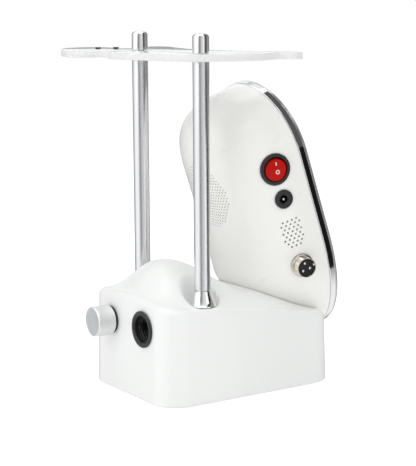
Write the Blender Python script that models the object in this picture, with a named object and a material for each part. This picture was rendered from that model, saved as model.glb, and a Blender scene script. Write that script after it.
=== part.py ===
"""Table-top ultrasound therapy device: base, two posts with a clear tray, and a leaning console.

Metres, +Z up. The origin is under the middle of the base, on the surface it stands on, and the
console's screen faces -Y. The output knob and the handpiece socket are on the +Y face.
"""

import math

import bmesh
import bpy
from mathutils import Matrix, Vector

# ---------------------------------------------------------------- driving dimensions, in metres
GAP = 0.0003  # clearance between pieces that touch
RUNNING_GAP = 0.0008  # clearance round a piece that turns or rocks
EDGE_BREAK = 0.0004  # bevel on a machined edge
FAR = 0.12  # a height above every boss and hole in the base

BASE_WIDTH = 0.116
BASE_DEPTH = 0.153
BASE_CORNER_RADIUS = 0.020
BASE_DRAFT = math.radians(1.2)
BASE_WALL = 0.0028
BASE_TOP_FILLET = 0.005
EDGE_HEIGHT_MIDDLE = 0.0596
EDGE_RISE_PER_METRE = 0.139
EDGE_CURVATURE = 0.5
CROWN_HEIGHT = 0.016
CROWN_CENTRE_Y = -0.005
CROWN_REACH = 0.075
HUMP_HEIGHT = 0.0258
HUMP_BEHIND_POSTS = 0.0108
HUMP_HALF_WIDTH = 0.056
HUMP_REACH_FRONT = 0.057
HUMP_REACH_REAR = 0.031

FOOT_PROUD = 0.001
FOOT_RADIUS = 0.007
FOOT_INSET_X = 0.018
FOOT_INSET_Y = 0.0305
PLATE_THICKNESS = 0.003
RECESS_DEPTH = 0.0012
PLATE_SCREW_INSET = 0.0122  # from both edges of the base
PLATE_SCREW_RADIUS = 0.0015
PLATE_SCREW_HEAD_RADIUS = 0.0028
PLATE_SCREW_HEAD = 0.0013
PLATE_SCREW_LENGTH = 0.014
PLATE_SCREW_BOSS_RADIUS = 0.0045

POST_RADIUS = 0.006
POST_INSET_X = 0.0156
POST_INSET_Y = 0.0408
POST_SEAT_RISE = 0.0100  # above the middle of the side edge
POST_CONE_HEIGHT = 0.0115
POST_CONE_RADIUS = 0.01015
POST_SPIGOT_RADIUS = 0.004
POST_BOSS_RADIUS = 0.0098
POCKET_HEIGHT = 0.024  # of the flared pocket round each post
POCKET_FLARE = 0.35  # radius that it gains for each metre up
POST_BOSS_LENGTH = 0.0132
POST_NUT_RADIUS = 0.0075
POST_NUT_HEIGHT = 0.0065
POST_WASHER_RADIUS = 0.009
POST_WASHER_THICKNESS = 0.0014
TRAY_STUD_RADIUS = 0.003
TRAY_Z = 0.248
TRAY_THICKNESS = 0.005
CAP_HEIGHT = 0.0146
CAP_BORE_DEPTH = 0.010
TRAY_PIN_RADIUS = 0.0016

KNOB_X = 0.0225
KNOB_DROP = 0.0212  # of its axis, below the base's rear edge
KNOB_RADIUS = 0.0113
KNOB_LENGTH = 0.0145
KNOB_WALL = 0.0025
KNOB_COLLAR_RADIUS = 0.0104
KNOB_COLLAR_THICKNESS = 0.001
ENCODER_SHAFT_RADIUS = 0.003
ENCODER_BUSH_RADIUS = 0.0046
ENCODER_BUSH_LENGTH = 0.0065
ENCODER_BODY_SIDE = 0.015
ENCODER_BODY_DEPTH = 0.010
ENCODER_NUT_RADIUS = 0.0068
ENCODER_NUT_HEIGHT = 0.002

SOCKET_X = -0.0235
SOCKET_DROP = 0.0202  # of its axis, below the base's rear edge
SOCKET_FLANGE_RADIUS = 0.0135
SOCKET_FLANGE_THICKNESS = 0.0014
SOCKET_BARREL_RADIUS = 0.0105
SOCKET_BARREL_LENGTH = 0.017
SOCKET_BARREL_WALL = 0.002
SOCKET_FLOOR = 0.002
SOCKET_INSERT_GAP = 0.0007
SOCKET_INSERT_LENGTH = 0.005
SOCKET_CONTACT_RADIUS = 0.001
SOCKET_NUT_RADIUS = 0.0135
SOCKET_NUT_THICKNESS = 0.003

SCREEN_TILT = math.radians(18.7)
SCREEN_SETBACK = 0.0205  # of the screen's middle point, from the base's front edge
SCREEN_RISE = 0.1104  # of the screen's middle point, above the middle of the side edge
CONSOLE_HALF_WIDTH = 0.0525
CONSOLE_TOP_CENTRE = 0.011
CONSOLE_BOTTOM_CENTRE = -0.060
CONSOLE_BOTTOM_LENGTH = 0.083
CONSOLE_DEPTH = 0.067
CONSOLE_WALL = 0.0026
CONSOLE_INSET = 0.0005
CONSOLE_SIDE_POWER = 2.5
CONSOLE_TOP_POWER = 3.3
CONSOLE_KEEL_POWER = 2.2
CONSOLE_FLARE = 0.004
CONSOLE_FLARE_CENTRE = -0.085
CONSOLE_FLARE_REACH = 0.026
SADDLE_GAP = 0.0006

RIM_DEPTH = 0.008
RIM_BEAD = 0.0026
RIM_WIDTH = 0.0040
PANEL_FRONT = 0.0014
PANEL_THICKNESS = 0.003
DISPLAY_MARGIN = 0.0135  # from the console's side to the display
DISPLAY_HEIGHT = 0.096
DISPLAY_THICKNESS = 0.0045
DISPLAY_CENTRE = -0.015
BOARD_THICKNESS = 0.0016
CONTROL_BOARD_MARGIN = 0.0175
CONTROL_BOARD_HEIGHT = 0.086
CONTROL_BOARD_LIFT = 0.0025
FAN_SIDE = 0.040
FAN_THICKNESS = 0.010
FAN_CENTRE = -0.006
FAN_BEHIND_WALL = 0.009  # from the fan's rear face to the console's back
FAN_HUB_RADIUS = 0.0105
FAN_FRAME_WALL = 0.0015
FAN_BLADES = 7
FAN_VENT_RADIUS = 0.0255
FAN_VENT_PITCH = 0.0050
FAN_VENT_HOLE_RADIUS = 0.0013
SPEAKER_RADIUS = 0.014
SPEAKER_THICKNESS = 0.006
SPEAKER_CENTRE = -0.092

SIDE_DEPTH = 0.031  # how far behind the screen plane the side fittings sit
ROCKER_UP = 0.007
ROCKER_BEZEL_LIP = 0.0018
ROCKER_BEZEL_HEIGHT = 0.0020
ROCKER_RADIUS = 0.0084
ROCKER_BODY_WALL = 0.0009
ROCKER_BODY_LENGTH = 0.015
ROCKER_POCKET = 0.0095
ROCKER_SWING = math.radians(8.0)
JACK_UP = -0.017
JACK_FLANGE_LIP = 0.00175
JACK_FLANGE_HEIGHT = 0.0016
JACK_BODY_WALL = 0.0024
JACK_BODY_LENGTH = 0.012
JACK_BORE_RADIUS = 0.0030
JACK_BORE_DEPTH = 0.009
JACK_PIN_RADIUS = 0.00105
SIDE_VENT_UP = -0.045
SIDE_VENT_ROWS = (4, 5, 4, 5, 4, 5, 4, 3)
SIDE_VENT_PITCH = 0.0038
SIDE_VENT_ROW = 0.0024
SIDE_VENT_HOLE_RADIUS = 0.00075
AVIATION_UP = -0.072
AVIATION_FLANGE_LIP = 0.0014
AVIATION_FLANGE_HEIGHT = 0.0018
AVIATION_BARREL_RADIUS = 0.0076
AVIATION_BARREL_HEIGHT = 0.0075
AVIATION_BODY_LENGTH = 0.010
AVIATION_BARREL_WALL = 0.0009
AVIATION_BORE_DEPTH = 0.0125
AVIATION_INSERT_HEIGHT = 0.004
AVIATION_PIN_RADIUS = 0.0009
AVIATION_PIN_LENGTH = 0.003
AVIATION_PIN_CIRCLE = 0.0032
AVIATION_NUT_LIP = 0.0029
AVIATION_NUT_THICKNESS = 0.0022
AVIATION_NUT_CLEARANCE = 0.0014  # the wall curves in beside the nut

NECK_SETBACK = 0.0275  # of the neck tube's axis, from the base's front edge
NECK_TUBE_RADIUS = 0.008
NECK_TUBE_WALL = 0.0025
NECK_FLANGE_LIP = 0.0035
NECK_FLANGE_THICKNESS = 0.0025
NECK_BOSS_WALL = 0.006
NECK_CONSOLE_SEAT_RISE = 0.0047  # above the highest underside of the console within its flange
NECK_NUT_LIP = 0.005
NECK_NUT_THICKNESS = 0.0045

DRIVER_BOARD_WIDTH = 0.070
DRIVER_BOARD_DEPTH = 0.075
DRIVER_BOARD_SETBACK = 0.0565
DRIVER_BOARD_Z = 0.010
TRANSFORMER_SIZE = (0.026, 0.022, 0.020)
TRANSFORMER_PLACE = (0.014, 0.010)  # from the middle of the board
HEAT_SINK_SIZE = (0.022, 0.032, 0.018)
HEAT_SINK_PLACE = (-0.019, 0.014)
HEAT_SINK_FINS = 6
LOOM_RADIUS = 0.0025

CURVE_STEPS = 24  # sides of a turned piece
HOLE_STEPS = 12  # sides of a plain hole, screw or nut
VENT_STEPS = 4  # sides of a vent hole

# ---------------------------------------------------------------- worked out from the above
FRONT_Y = -BASE_DEPTH / 2
FLOOR_Z = FOOT_PROUD
FOOT_X = BASE_WIDTH / 2 - FOOT_INSET_X
FOOT_Y = BASE_DEPTH / 2 - FOOT_INSET_Y
PLATE_SCREW_X = BASE_WIDTH / 2 - PLATE_SCREW_INSET
PLATE_SCREW_Y = BASE_DEPTH / 2 - PLATE_SCREW_INSET
POST_X = BASE_WIDTH / 2 - POST_INSET_X
POST_Y = BASE_DEPTH / 2 - POST_INSET_Y
POST_SEAT_Z = EDGE_HEIGHT_MIDDLE + POST_SEAT_RISE
POST_BOSS_Z = POST_SEAT_Z - POST_BOSS_LENGTH
HUMP_CENTRE_Y = POST_Y + HUMP_BEHIND_POSTS
REAR_EDGE_Z = (
    FLOOR_Z
    + EDGE_HEIGHT_MIDDLE
    + EDGE_RISE_PER_METRE * BASE_DEPTH / 2
    + EDGE_CURVATURE * BASE_DEPTH**2 / 4
)
KNOB_Z = REAR_EDGE_Z - KNOB_DROP
SOCKET_Z = REAR_EDGE_Z - SOCKET_DROP
PLATE_TOP = FLOOR_Z + PLATE_THICKNESS
BOSS_BOTTOM = PLATE_TOP + GAP
TRAY_TOP = TRAY_Z + TRAY_THICKNESS
SOCKET_BORE_RADIUS = SOCKET_BARREL_RADIUS - SOCKET_BARREL_WALL
SOCKET_INSERT_RADIUS = SOCKET_BORE_RADIUS - SOCKET_INSERT_GAP
SCREEN_ORIGIN = Vector((0.0, FRONT_Y + SCREEN_SETBACK, EDGE_HEIGHT_MIDDLE + SCREEN_RISE))
CONSOLE_START = RIM_DEPTH + GAP
DISPLAY_WIDTH = 2 * (CONSOLE_HALF_WIDTH - DISPLAY_MARGIN)
CONTROL_BOARD_WIDTH = 2 * (CONSOLE_HALF_WIDTH - CONTROL_BOARD_MARGIN)
FAN_REAR = CONSOLE_DEPTH - FAN_BEHIND_WALL
FAN_BORE_RADIUS = FAN_SIDE / 2 - FAN_FRAME_WALL
ROCKER_BODY_RADIUS = ROCKER_RADIUS + RUNNING_GAP + ROCKER_BODY_WALL
ROCKER_BEZEL_RADIUS = ROCKER_BODY_RADIUS + ROCKER_BEZEL_LIP
JACK_BODY_RADIUS = JACK_BORE_RADIUS + JACK_BODY_WALL
JACK_FLANGE_RADIUS = JACK_BODY_RADIUS + JACK_FLANGE_LIP
AVIATION_FLANGE_RADIUS = AVIATION_BARREL_RADIUS + AVIATION_FLANGE_LIP
AVIATION_BORE_RADIUS = AVIATION_BARREL_RADIUS - AVIATION_BARREL_WALL
AVIATION_NUT_RADIUS = AVIATION_BARREL_RADIUS + AVIATION_NUT_LIP
NECK_Y = FRONT_Y + NECK_SETBACK
NECK_BORE_RADIUS = NECK_TUBE_RADIUS - NECK_TUBE_WALL
NECK_FLANGE_RADIUS = NECK_TUBE_RADIUS + NECK_FLANGE_LIP
NECK_BOSS_RADIUS = NECK_TUBE_RADIUS + NECK_BOSS_WALL
NECK_NUT_RADIUS = NECK_TUBE_RADIUS + NECK_NUT_LIP
DRIVER_BOARD_Y = FRONT_Y + DRIVER_BOARD_SETBACK
PANEL_BACK = PANEL_FRONT + PANEL_THICKNESS
UP_SCREEN = Vector((0.0, math.sin(SCREEN_TILT), math.cos(SCREEN_TILT)))
INTO_SCREEN = Vector((0.0, math.cos(SCREEN_TILT), -math.sin(SCREEN_TILT)))


# ---------------------------------------------------------------- materials
def finish(name, colour, roughness, metallic=0.0, transmission=0.0):
    made = bpy.data.materials.new(name)
    made.use_nodes = True
    shader = made.node_tree.nodes["Principled BSDF"]
    shader.inputs["Base Color"].default_value = (*colour, 1.0)
    shader.inputs["Roughness"].default_value = roughness
    shader.inputs["Metallic"].default_value = metallic
    shader.inputs["Transmission Weight"].default_value = transmission
    made.diffuse_color = (*colour, 1.0)
    return made


def make_finishes():
    return {
        "white_shell": finish("white_shell", (0.86, 0.87, 0.86), 0.32),
        "grey_plate": finish("grey_plate", (0.55, 0.56, 0.57), 0.55),
        "black_rubber": finish("black_rubber", (0.02, 0.02, 0.02), 0.85),
        "black_plastic": finish("black_plastic", (0.025, 0.025, 0.028), 0.38),
        "satin_aluminium": finish("satin_aluminium", (0.66, 0.68, 0.70), 0.34, 1.0),
        "chrome": finish("chrome", (0.80, 0.81, 0.82), 0.08, 1.0),
        "zinc_steel": finish("zinc_steel", (0.60, 0.60, 0.58), 0.35, 1.0),
        "clear_acrylic": finish("clear_acrylic", (0.93, 0.95, 0.95), 0.04, 0.0, 0.95),
        "red_rocker": finish("red_rocker", (0.62, 0.015, 0.008), 0.22),
        "black_glass": finish("black_glass", (0.008, 0.009, 0.011), 0.05),
        "circuit_board": finish("circuit_board", (0.02, 0.14, 0.06), 0.45),
        "display_metal": finish("display_metal", (0.52, 0.53, 0.55), 0.40, 1.0),
        "copper_brass": finish("copper_brass", (0.70, 0.45, 0.22), 0.35, 1.0),
        "loom_sleeve": finish("loom_sleeve", (0.03, 0.03, 0.035), 0.60),
    }


FINISHES = {}


# ---------------------------------------------------------------- mesh helpers
def add_mesh(name, bm, material, matrix=None, smooth_angle=35.0):
    """Turns a bmesh into a named object, facing out, with smooth round faces."""
    bmesh.ops.remove_doubles(bm, verts=bm.verts, dist=1e-6)
    bmesh.ops.recalc_face_normals(bm, faces=bm.faces)
    mesh = bpy.data.meshes.new(name)
    bm.to_mesh(mesh)
    bm.free()
    mesh.shade_smooth()
    mesh.set_sharp_from_angle(angle=math.radians(smooth_angle))
    obj = bpy.data.objects.new(name, mesh)
    bpy.context.scene.collection.objects.link(obj)
    if material:
        mesh.materials.append(FINISHES[material])
    if matrix:
        obj.matrix_world = matrix
    return obj


def as_cutter(obj):
    obj.hide_render = True
    obj.display_type = "WIRE"
    return obj


def boolean(target, other, operation="DIFFERENCE"):
    """A live Boolean. The two shells take so many cuts that only the MANIFOLD solver keeps them closed."""
    modifier = target.modifiers.new(operation.title() + "_" + other.name, "BOOLEAN")
    modifier.operation = operation
    modifier.solver = "MANIFOLD" if target.name.endswith("_shell") else "EXACT"
    modifier.object = other


def cut(target, name, bm, matrix=None):
    boolean(target, as_cutter(add_mesh(name, bm, None, matrix)))


def join_on(target, name, bm, matrix=None):
    boolean(target, as_cutter(add_mesh(name, bm, None, matrix)), "UNION")


def turn(bm, profile, steps=CURVE_STEPS, centre=(0.0, 0.0)):
    """Adds a solid of revolution about Z. The profile is a list of (radius, height) points.

    A profile that starts and ends at radius 0 closes on the axis, and any other one is a ring.
    """
    rings = []
    for radius, height in profile:
        count = 1 if radius == 0.0 else steps
        ring = []
        for step in range(count):
            angle = math.tau * step / steps
            x = centre[0] + radius * math.cos(angle)
            y = centre[1] + radius * math.sin(angle)
            ring.append(bm.verts.new((x, y, height)))
        rings.append(ring)
    pairs = list(zip(rings, rings[1:]))
    if len(rings[0]) > 1 and len(rings[-1]) > 1:
        pairs.append((rings[-1], rings[0]))
    for lower, upper in pairs:
        for step in range(steps):
            after = (step + 1) % steps
            corners = [
                lower[step % len(lower)],
                lower[after % len(lower)],
                upper[after % len(upper)],
                upper[step % len(upper)],
            ]
            bm.faces.new(list(dict.fromkeys(corners)))
    return bm


def disc(radius, low, high, steps=CURVE_STEPS, centre=(0.0, 0.0), bm=None):
    """A plain cylinder from low to high, added to bm."""
    profile = [(0.0, low), (radius, low), (radius, high), (0.0, high)]
    return turn(bm or bmesh.new(), profile, steps, centre)


def bevelled_disc(radius, low, high, bevel, steps=CURVE_STEPS):
    profile = [
        (0.0, low),
        (radius - bevel, low),
        (radius, low + bevel),
        (radius, high - bevel),
        (radius - bevel, high),
        (0.0, high),
    ]
    return turn(bmesh.new(), profile, steps)


def washer(outer, inner, low, high, steps=CURVE_STEPS):
    return turn(bmesh.new(), [(inner, low), (outer, low), (outer, high), (inner, high)], steps)


def hex_nut(across_corners, bore, low, high, steps=12):
    """A hexagonal nut with a round bore: both loops have the same number of points."""
    bm = bmesh.new()
    outer = []
    inner = []
    apothem = across_corners * math.cos(math.pi / 6)
    for step in range(steps):
        angle = math.tau * step / steps
        from_flat = (angle + math.pi / 6) % (math.pi / 3) - math.pi / 6
        outer.append(Vector((math.cos(angle), math.sin(angle))) * apothem / math.cos(from_flat))
        inner.append(Vector((math.cos(angle), math.sin(angle))) * bore)
    add_ring_prism(bm, outer, inner, low, high)
    return bm


def add_ring_prism(bm, outer, inner, low, high):
    loops = []
    for points, height in ((inner, low), (outer, low), (outer, high), (inner, high)):
        loops.append([bm.verts.new((p.x, p.y, height)) for p in points])
    bridge_rings(bm, loops, closed_section=True)


def bridge_rings(bm, loops, closed_section=False):
    """Quads between each closed loop of points and the next one."""
    pairs = list(zip(loops, loops[1:]))
    if closed_section:
        pairs.append((loops[-1], loops[0]))
    for first, second in pairs:
        count = len(first)
        for step in range(count):
            after = (step + 1) % count
            bm.faces.new((first[step], first[after], second[after], second[step]))


def add_prism(bm, outline, low, high):
    """A straight extrusion of a flat outline along Z."""
    bottom = [bm.verts.new((p[0], p[1], low)) for p in outline]
    top = [bm.verts.new((p[0], p[1], high)) for p in outline]
    bridge_rings(bm, [bottom, top])
    bm.faces.new(bottom)
    bm.faces.new(top)
    return bm


def add_box(bm, centre, size):
    matrix = Matrix.Translation(centre) @ Matrix.Diagonal((*size, 1.0))
    bmesh.ops.create_cube(bm, size=1.0, matrix=matrix)
    return bm


def rounded_rectangle(width, depth, radius, corner_steps=5, side_steps=4):
    """Points round a rounded rectangle, with points along its straight sides too."""
    points = []
    for corner in range(4):
        turn_by = corner * math.pi / 2
        along_x = 1 if corner in (0, 3) else -1
        along_y = 1 if corner in (0, 1) else -1
        centre = Vector((along_x * (width / 2 - radius), along_y * (depth / 2 - radius)))
        for step in range(corner_steps + 1):
            angle = turn_by + step * math.pi / 2 / corner_steps
            points.append(centre + radius * Vector((math.cos(angle), math.sin(angle))))
        next_x = 1 if (corner + 1) % 4 in (0, 3) else -1
        next_y = 1 if (corner + 1) % 4 in (0, 1) else -1
        next_centre = Vector((next_x * (width / 2 - radius), next_y * (depth / 2 - radius)))
        angle = turn_by + math.pi / 2
        start = centre + radius * Vector((math.cos(angle), math.sin(angle)))
        end = next_centre + radius * Vector((math.cos(angle), math.sin(angle)))
        for step in range(1, side_steps):
            points.append(start.lerp(end, step / side_steps))
    return points


def between(before, start, end, after, t):
    """A point at share t of the way from start to end, on a smooth curve through all four."""
    part = (2 * start) + (end - before) * t
    part += (2 * before - 5 * start + 4 * end - after) * t * t
    part += (3 * start - before - 3 * end + after) * t * t * t
    return part / 2


def smooth_outline(points, steps=4):
    """A closed smooth curve through the points, with this many pieces between each two."""
    curve = []
    count = len(points)
    for index in range(count):
        four = [Vector(points[(index + k - 1) % count]) for k in range(4)]
        for step in range(steps):
            curve.append(between(*four, step / steps))
    return curve


def facing(origin, outward, up):
    """A matrix whose Z points outward and whose Y is as near to up as it can be."""
    z = Vector(outward).normalized()
    x = Vector(up).cross(z).normalized()
    y = z.cross(x)
    rotation = Matrix((x, y, z)).transposed().to_4x4()
    return Matrix.Translation(origin) @ rotation


# ---------------------------------------------------------------- base
def bell(distance, reach):
    """A smooth bump that is 1 at distance 0, and 0 from the reach on."""
    return max(0.0, 1.0 - (distance / reach) ** 2) ** 2


def base_top(x, y):
    """Height of the base's top: it rises to the rear, is crowned, and has a hump behind the console."""
    edge = EDGE_HEIGHT_MIDDLE + EDGE_RISE_PER_METRE * y + EDGE_CURVATURE * y * y
    across = 1.0 - min(1.0, abs(2 * x / BASE_WIDTH)) ** 4
    crown = CROWN_HEIGHT * bell(y - CROWN_CENTRE_Y, CROWN_REACH) * across
    reach = HUMP_REACH_REAR if y > HUMP_CENTRE_Y else HUMP_REACH_FRONT
    hump = HUMP_HEIGHT * bell(y - HUMP_CENTRE_Y, reach) * bell(x, HUMP_HALF_WIDTH)
    return FLOOR_Z + edge + crown + hump


def pulled_in(point, amount):
    """A point of the base's outline moved in by an amount on both axes."""
    across = 1 - 2 * amount / BASE_WIDTH
    along = 1 - 2 * amount / BASE_DEPTH
    return Vector((point.x * across, point.y * along))


def base_form(inset, bottom, roof_drop, fillet):
    """The closed outer form of the base, or the hollow inside it when inset is the wall."""
    bm = bmesh.new()
    outline = rounded_rectangle(BASE_WIDTH, BASE_DEPTH, BASE_CORNER_RADIUS)
    loops = []
    floor_points = [pulled_in(p, inset) for p in outline]
    loops.append([bm.verts.new((p.x, p.y, bottom)) for p in floor_points])
    for step in range(3):
        angle = step * math.pi / 4
        loop = []
        for point in outline:
            edge = pulled_in(point, inset + math.tan(BASE_DRAFT) * EDGE_HEIGHT_MIDDLE)
            top = base_top(edge.x, edge.y) - roof_drop
            height = top - fillet + fillet * math.sin(angle)
            amount = inset + math.tan(BASE_DRAFT) * height + fillet * (1 - math.cos(angle))
            place = pulled_in(point, amount)
            loop.append(bm.verts.new((place.x, place.y, height)))
        loops.append(loop)
    rim = [Vector((v.co.x, v.co.y)) for v in loops[-1]]
    for share in (0.90, 0.78, 0.65, 0.52, 0.40, 0.28, 0.15):
        loop = []
        for point in rim:
            place = point * share
            height = base_top(place.x, place.y) - roof_drop
            loop.append(bm.verts.new((place.x, place.y, height)))
        loops.append(loop)
    bridge_rings(bm, loops)
    bm.faces.new(loops[0])
    middle = bm.verts.new((0.0, 0.0, base_top(0.0, 0.0) - roof_drop))
    last = loops[-1]
    for step, vert in enumerate(last):
        bm.faces.new((vert, last[(step + 1) % len(last)], middle))
    return bm


def wall_y(height):
    """Where the rear wall's outside is at a height."""
    return BASE_DEPTH / 2 - math.tan(BASE_DRAFT) * height


def rear_face(x, z, radius):
    """A frame on the rear wall whose Z points out of it, clear of the wall over the radius."""
    origin = Vector((x, wall_y(z - radius) + GAP, z))
    return facing(origin, (0.0, 1.0, 0.0), (0.0, 0.0, 1.0))


CORNER_NAMES = ("rear_left", "rear_right", "front_left", "front_right")


def corners(x, y):
    return [(sx * x, sy * y) for sy in (1, -1) for sx in (1, -1)]


def post_pockets(low, radius):
    """The flared forms of the pockets that the posts stand in."""
    high = POST_SEAT_Z + POCKET_HEIGHT
    flared = radius + POCKET_FLARE * (high - low)
    bm = bmesh.new()
    for side in (1, -1):
        profile = [(0.0, low), (radius, low), (flared, high), (0.0, high)]
        turn(bm, profile, 24, (side * POST_X, POST_Y))
    return bm


def make_base_shell():
    shell = add_mesh("base_shell", base_form(0.0, FLOOR_Z, 0.0, BASE_TOP_FILLET), "white_shell")
    pads = bmesh.new()
    for side in (1, -1):
        centre = (side * POST_X, POST_Y)
        disc(POST_CONE_RADIUS, POST_BOSS_Z + 0.002, POST_SEAT_Z + 0.002, 24, centre, pads)
    join_on(shell, "post_pads", pads)
    seat_radius = POST_CONE_RADIUS + 2 * GAP
    cut(shell, "post_seats", post_pockets(POST_SEAT_Z, seat_radius))
    cut(shell, "saddle", console_form(SADDLE_GAP))
    hollow = base_form(BASE_WALL, -0.01, BASE_WALL, BASE_TOP_FILLET - BASE_WALL / 2)
    hollow = as_cutter(add_mesh("base_hollow", hollow, None))
    cut(hollow, "saddle_underside", console_form(SADDLE_GAP + BASE_WALL))
    bosses = bmesh.new()
    for side in (1, -1):
        disc(POST_BOSS_RADIUS, POST_BOSS_Z, FAR, HOLE_STEPS, (side * POST_X, POST_Y), bosses)
    for x, y in corners(PLATE_SCREW_X, PLATE_SCREW_Y):
        disc(PLATE_SCREW_BOSS_RADIUS, BOSS_BOTTOM, FAR, HOLE_STEPS, (x, y), bosses)
    disc(NECK_BOSS_RADIUS, neck_seats()[1], FAR, 16, (0.0, NECK_Y), bosses)
    cut(hollow, "base_bosses", bosses)
    cut(hollow, "pocket_walls", post_pockets(POST_SEAT_Z - BASE_WALL, seat_radius + BASE_WALL))
    boolean(shell, hollow)
    holes = bmesh.new()
    for side in (1, -1):
        disc(POST_SPIGOT_RADIUS + GAP, POST_BOSS_Z - 0.018, FAR, HOLE_STEPS, (side * POST_X, POST_Y), holes)
    for x, y in corners(PLATE_SCREW_X, PLATE_SCREW_Y):
        top = FLOOR_Z + PLATE_SCREW_LENGTH + 0.002
        disc(PLATE_SCREW_RADIUS + GAP, -0.01, top, HOLE_STEPS - 4, (x, y), holes)
    disc(NECK_TUBE_RADIUS + GAP, neck_seats()[1] - 0.0095, FAR, 16, (0.0, NECK_Y), holes)
    cut(shell, "base_holes", holes)
    knob_hole = disc(ENCODER_BUSH_RADIUS + GAP, -0.02, 0.01, 16)
    cut(shell, "knob_hole", knob_hole, rear_face(KNOB_X, KNOB_Z, KNOB_RADIUS))
    socket_hole = disc(SOCKET_BARREL_RADIUS + GAP, -0.02, 0.01, 24)
    cut(shell, "socket_hole", socket_hole, rear_face(SOCKET_X, SOCKET_Z, SOCKET_FLANGE_RADIUS))


def make_base_plate():
    bm = bmesh.new()
    inset = BASE_WALL + 2 * GAP + math.tan(BASE_DRAFT) * PLATE_TOP
    whole = rounded_rectangle(BASE_WIDTH, BASE_DEPTH, BASE_CORNER_RADIUS, 5, 1)
    outline = [pulled_in(point, inset) for point in whole]
    add_prism(bm, outline, FLOOR_Z, PLATE_TOP)
    plate = add_mesh("base_plate", bm, "grey_plate")
    standoffs = bmesh.new()
    for x, y in corners(DRIVER_BOARD_WIDTH / 2 - 0.005, DRIVER_BOARD_DEPTH / 2 - 0.005):
        top = DRIVER_BOARD_Z - GAP
        disc(0.003, PLATE_TOP - 0.001, top, 8, (x, y + DRIVER_BOARD_Y), standoffs)
    join_on(plate, "board_standoffs", standoffs)
    recesses = bmesh.new()
    for x, y in corners(FOOT_X, FOOT_Y):
        disc(FOOT_RADIUS + GAP, -0.01, FLOOR_Z + RECESS_DEPTH, 20, (x, y), recesses)
    for x, y in corners(PLATE_SCREW_X, PLATE_SCREW_Y):
        top = FLOOR_Z + PLATE_SCREW_HEAD + 2 * GAP
        disc(PLATE_SCREW_HEAD_RADIUS + GAP, -0.01, top, HOLE_STEPS, (x, y), recesses)
    cut(plate, "plate_recesses", recesses)
    screw_holes = bmesh.new()
    for x, y in corners(PLATE_SCREW_X, PLATE_SCREW_Y):
        disc(PLATE_SCREW_RADIUS + GAP, -0.01, 0.02, HOLE_STEPS - 4, (x, y), screw_holes)
    cut(plate, "plate_screw_holes", screw_holes)


def make_feet():
    top = FLOOR_Z + RECESS_DEPTH - GAP
    for (x, y), place in zip(corners(FOOT_X, FOOT_Y), CORNER_NAMES):
        bm = bevelled_disc(FOOT_RADIUS, 0.0, top, 0.0005, 16)
        add_mesh("foot_" + place, bm, "black_rubber", Matrix.Translation((x, y, 0.0)))


def make_plate_screws():
    head_low = FLOOR_Z + GAP
    head_high = head_low + PLATE_SCREW_HEAD
    for (x, y), place in zip(corners(PLATE_SCREW_X, PLATE_SCREW_Y), CORNER_NAMES):
        profile = [
            (0.0, head_low),
            (PLATE_SCREW_HEAD_RADIUS, head_low),
            (PLATE_SCREW_HEAD_RADIUS, head_high),
            (PLATE_SCREW_RADIUS, head_high),
            (PLATE_SCREW_RADIUS, FLOOR_Z + PLATE_SCREW_LENGTH),
            (0.0, FLOOR_Z + PLATE_SCREW_LENGTH + 0.0005),
        ]
        bm = turn(bmesh.new(), profile, HOLE_STEPS)
        add_mesh("plate_screw_" + place, bm, "zinc_steel", Matrix.Translation((x, y, 0.0)))


# ---------------------------------------------------------------- posts and tray
def make_posts():
    cone_low = POST_SEAT_Z + GAP
    cone_high = cone_low + POST_CONE_HEIGHT
    post_low = cone_high + GAP
    washer_high = POST_BOSS_Z - GAP
    nut_high = washer_high - POST_WASHER_THICKNESS - GAP
    nut_low = nut_high - POST_NUT_HEIGHT
    for place, side in (("right", 1), ("left", -1)):
        at = Matrix.Translation((side * POST_X, POST_Y, 0.0))
        profile = [
            (0.0, nut_low - 0.003),
            (POST_SPIGOT_RADIUS, nut_low - 0.003),
            (POST_SPIGOT_RADIUS, post_low),
            (POST_RADIUS - EDGE_BREAK, post_low),
            (POST_RADIUS, post_low + EDGE_BREAK),
            (POST_RADIUS, TRAY_Z - GAP),
            (TRAY_STUD_RADIUS, TRAY_Z - GAP),
            (TRAY_STUD_RADIUS, TRAY_TOP + CAP_BORE_DEPTH - 0.001),
            (0.0, TRAY_TOP + CAP_BORE_DEPTH - 0.001),
        ]
        add_mesh("post_" + place, turn(bmesh.new(), profile, 20), "satin_aluminium", at)
        bore = POST_SPIGOT_RADIUS + GAP
        cone = [
            (bore, cone_low),
            (POST_CONE_RADIUS, cone_low),
            (POST_CONE_RADIUS, cone_low + 0.0012),
            (POST_CONE_RADIUS - 0.0022, cone_low + 0.45 * POST_CONE_HEIGHT),
            (POST_RADIUS + 0.0002, cone_high - 0.0012),
            (POST_RADIUS + 0.0002, cone_high),
            (bore, cone_high),
        ]
        add_mesh("post_foot_" + place, turn(bmesh.new(), cone, 20), "chrome", at)
        ring = washer(POST_WASHER_RADIUS, bore, washer_high - POST_WASHER_THICKNESS, washer_high, 16)
        add_mesh("post_washer_" + place, ring, "zinc_steel", at)
        nut = hex_nut(POST_NUT_RADIUS, bore, nut_low, nut_high)
        add_mesh("post_nut_" + place, nut, "zinc_steel", at)
        cap_low = TRAY_TOP + GAP
        cap_high = cap_low + CAP_HEIGHT
        cap = [
            (TRAY_STUD_RADIUS + GAP, cap_low),
            (POST_RADIUS, cap_low),
            (POST_RADIUS, cap_high - 0.0022),
            (POST_RADIUS - 0.0007, cap_high - 0.0009),
            (POST_RADIUS - 0.0022, cap_high - 0.0002),
            (0.0, cap_high),
            (0.0, cap_low + CAP_BORE_DEPTH),
            (TRAY_STUD_RADIUS + GAP, cap_low + CAP_BORE_DEPTH),
        ]
        add_mesh("post_cap_" + place, closed_cap(cap, 20), "chrome", at)


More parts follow.
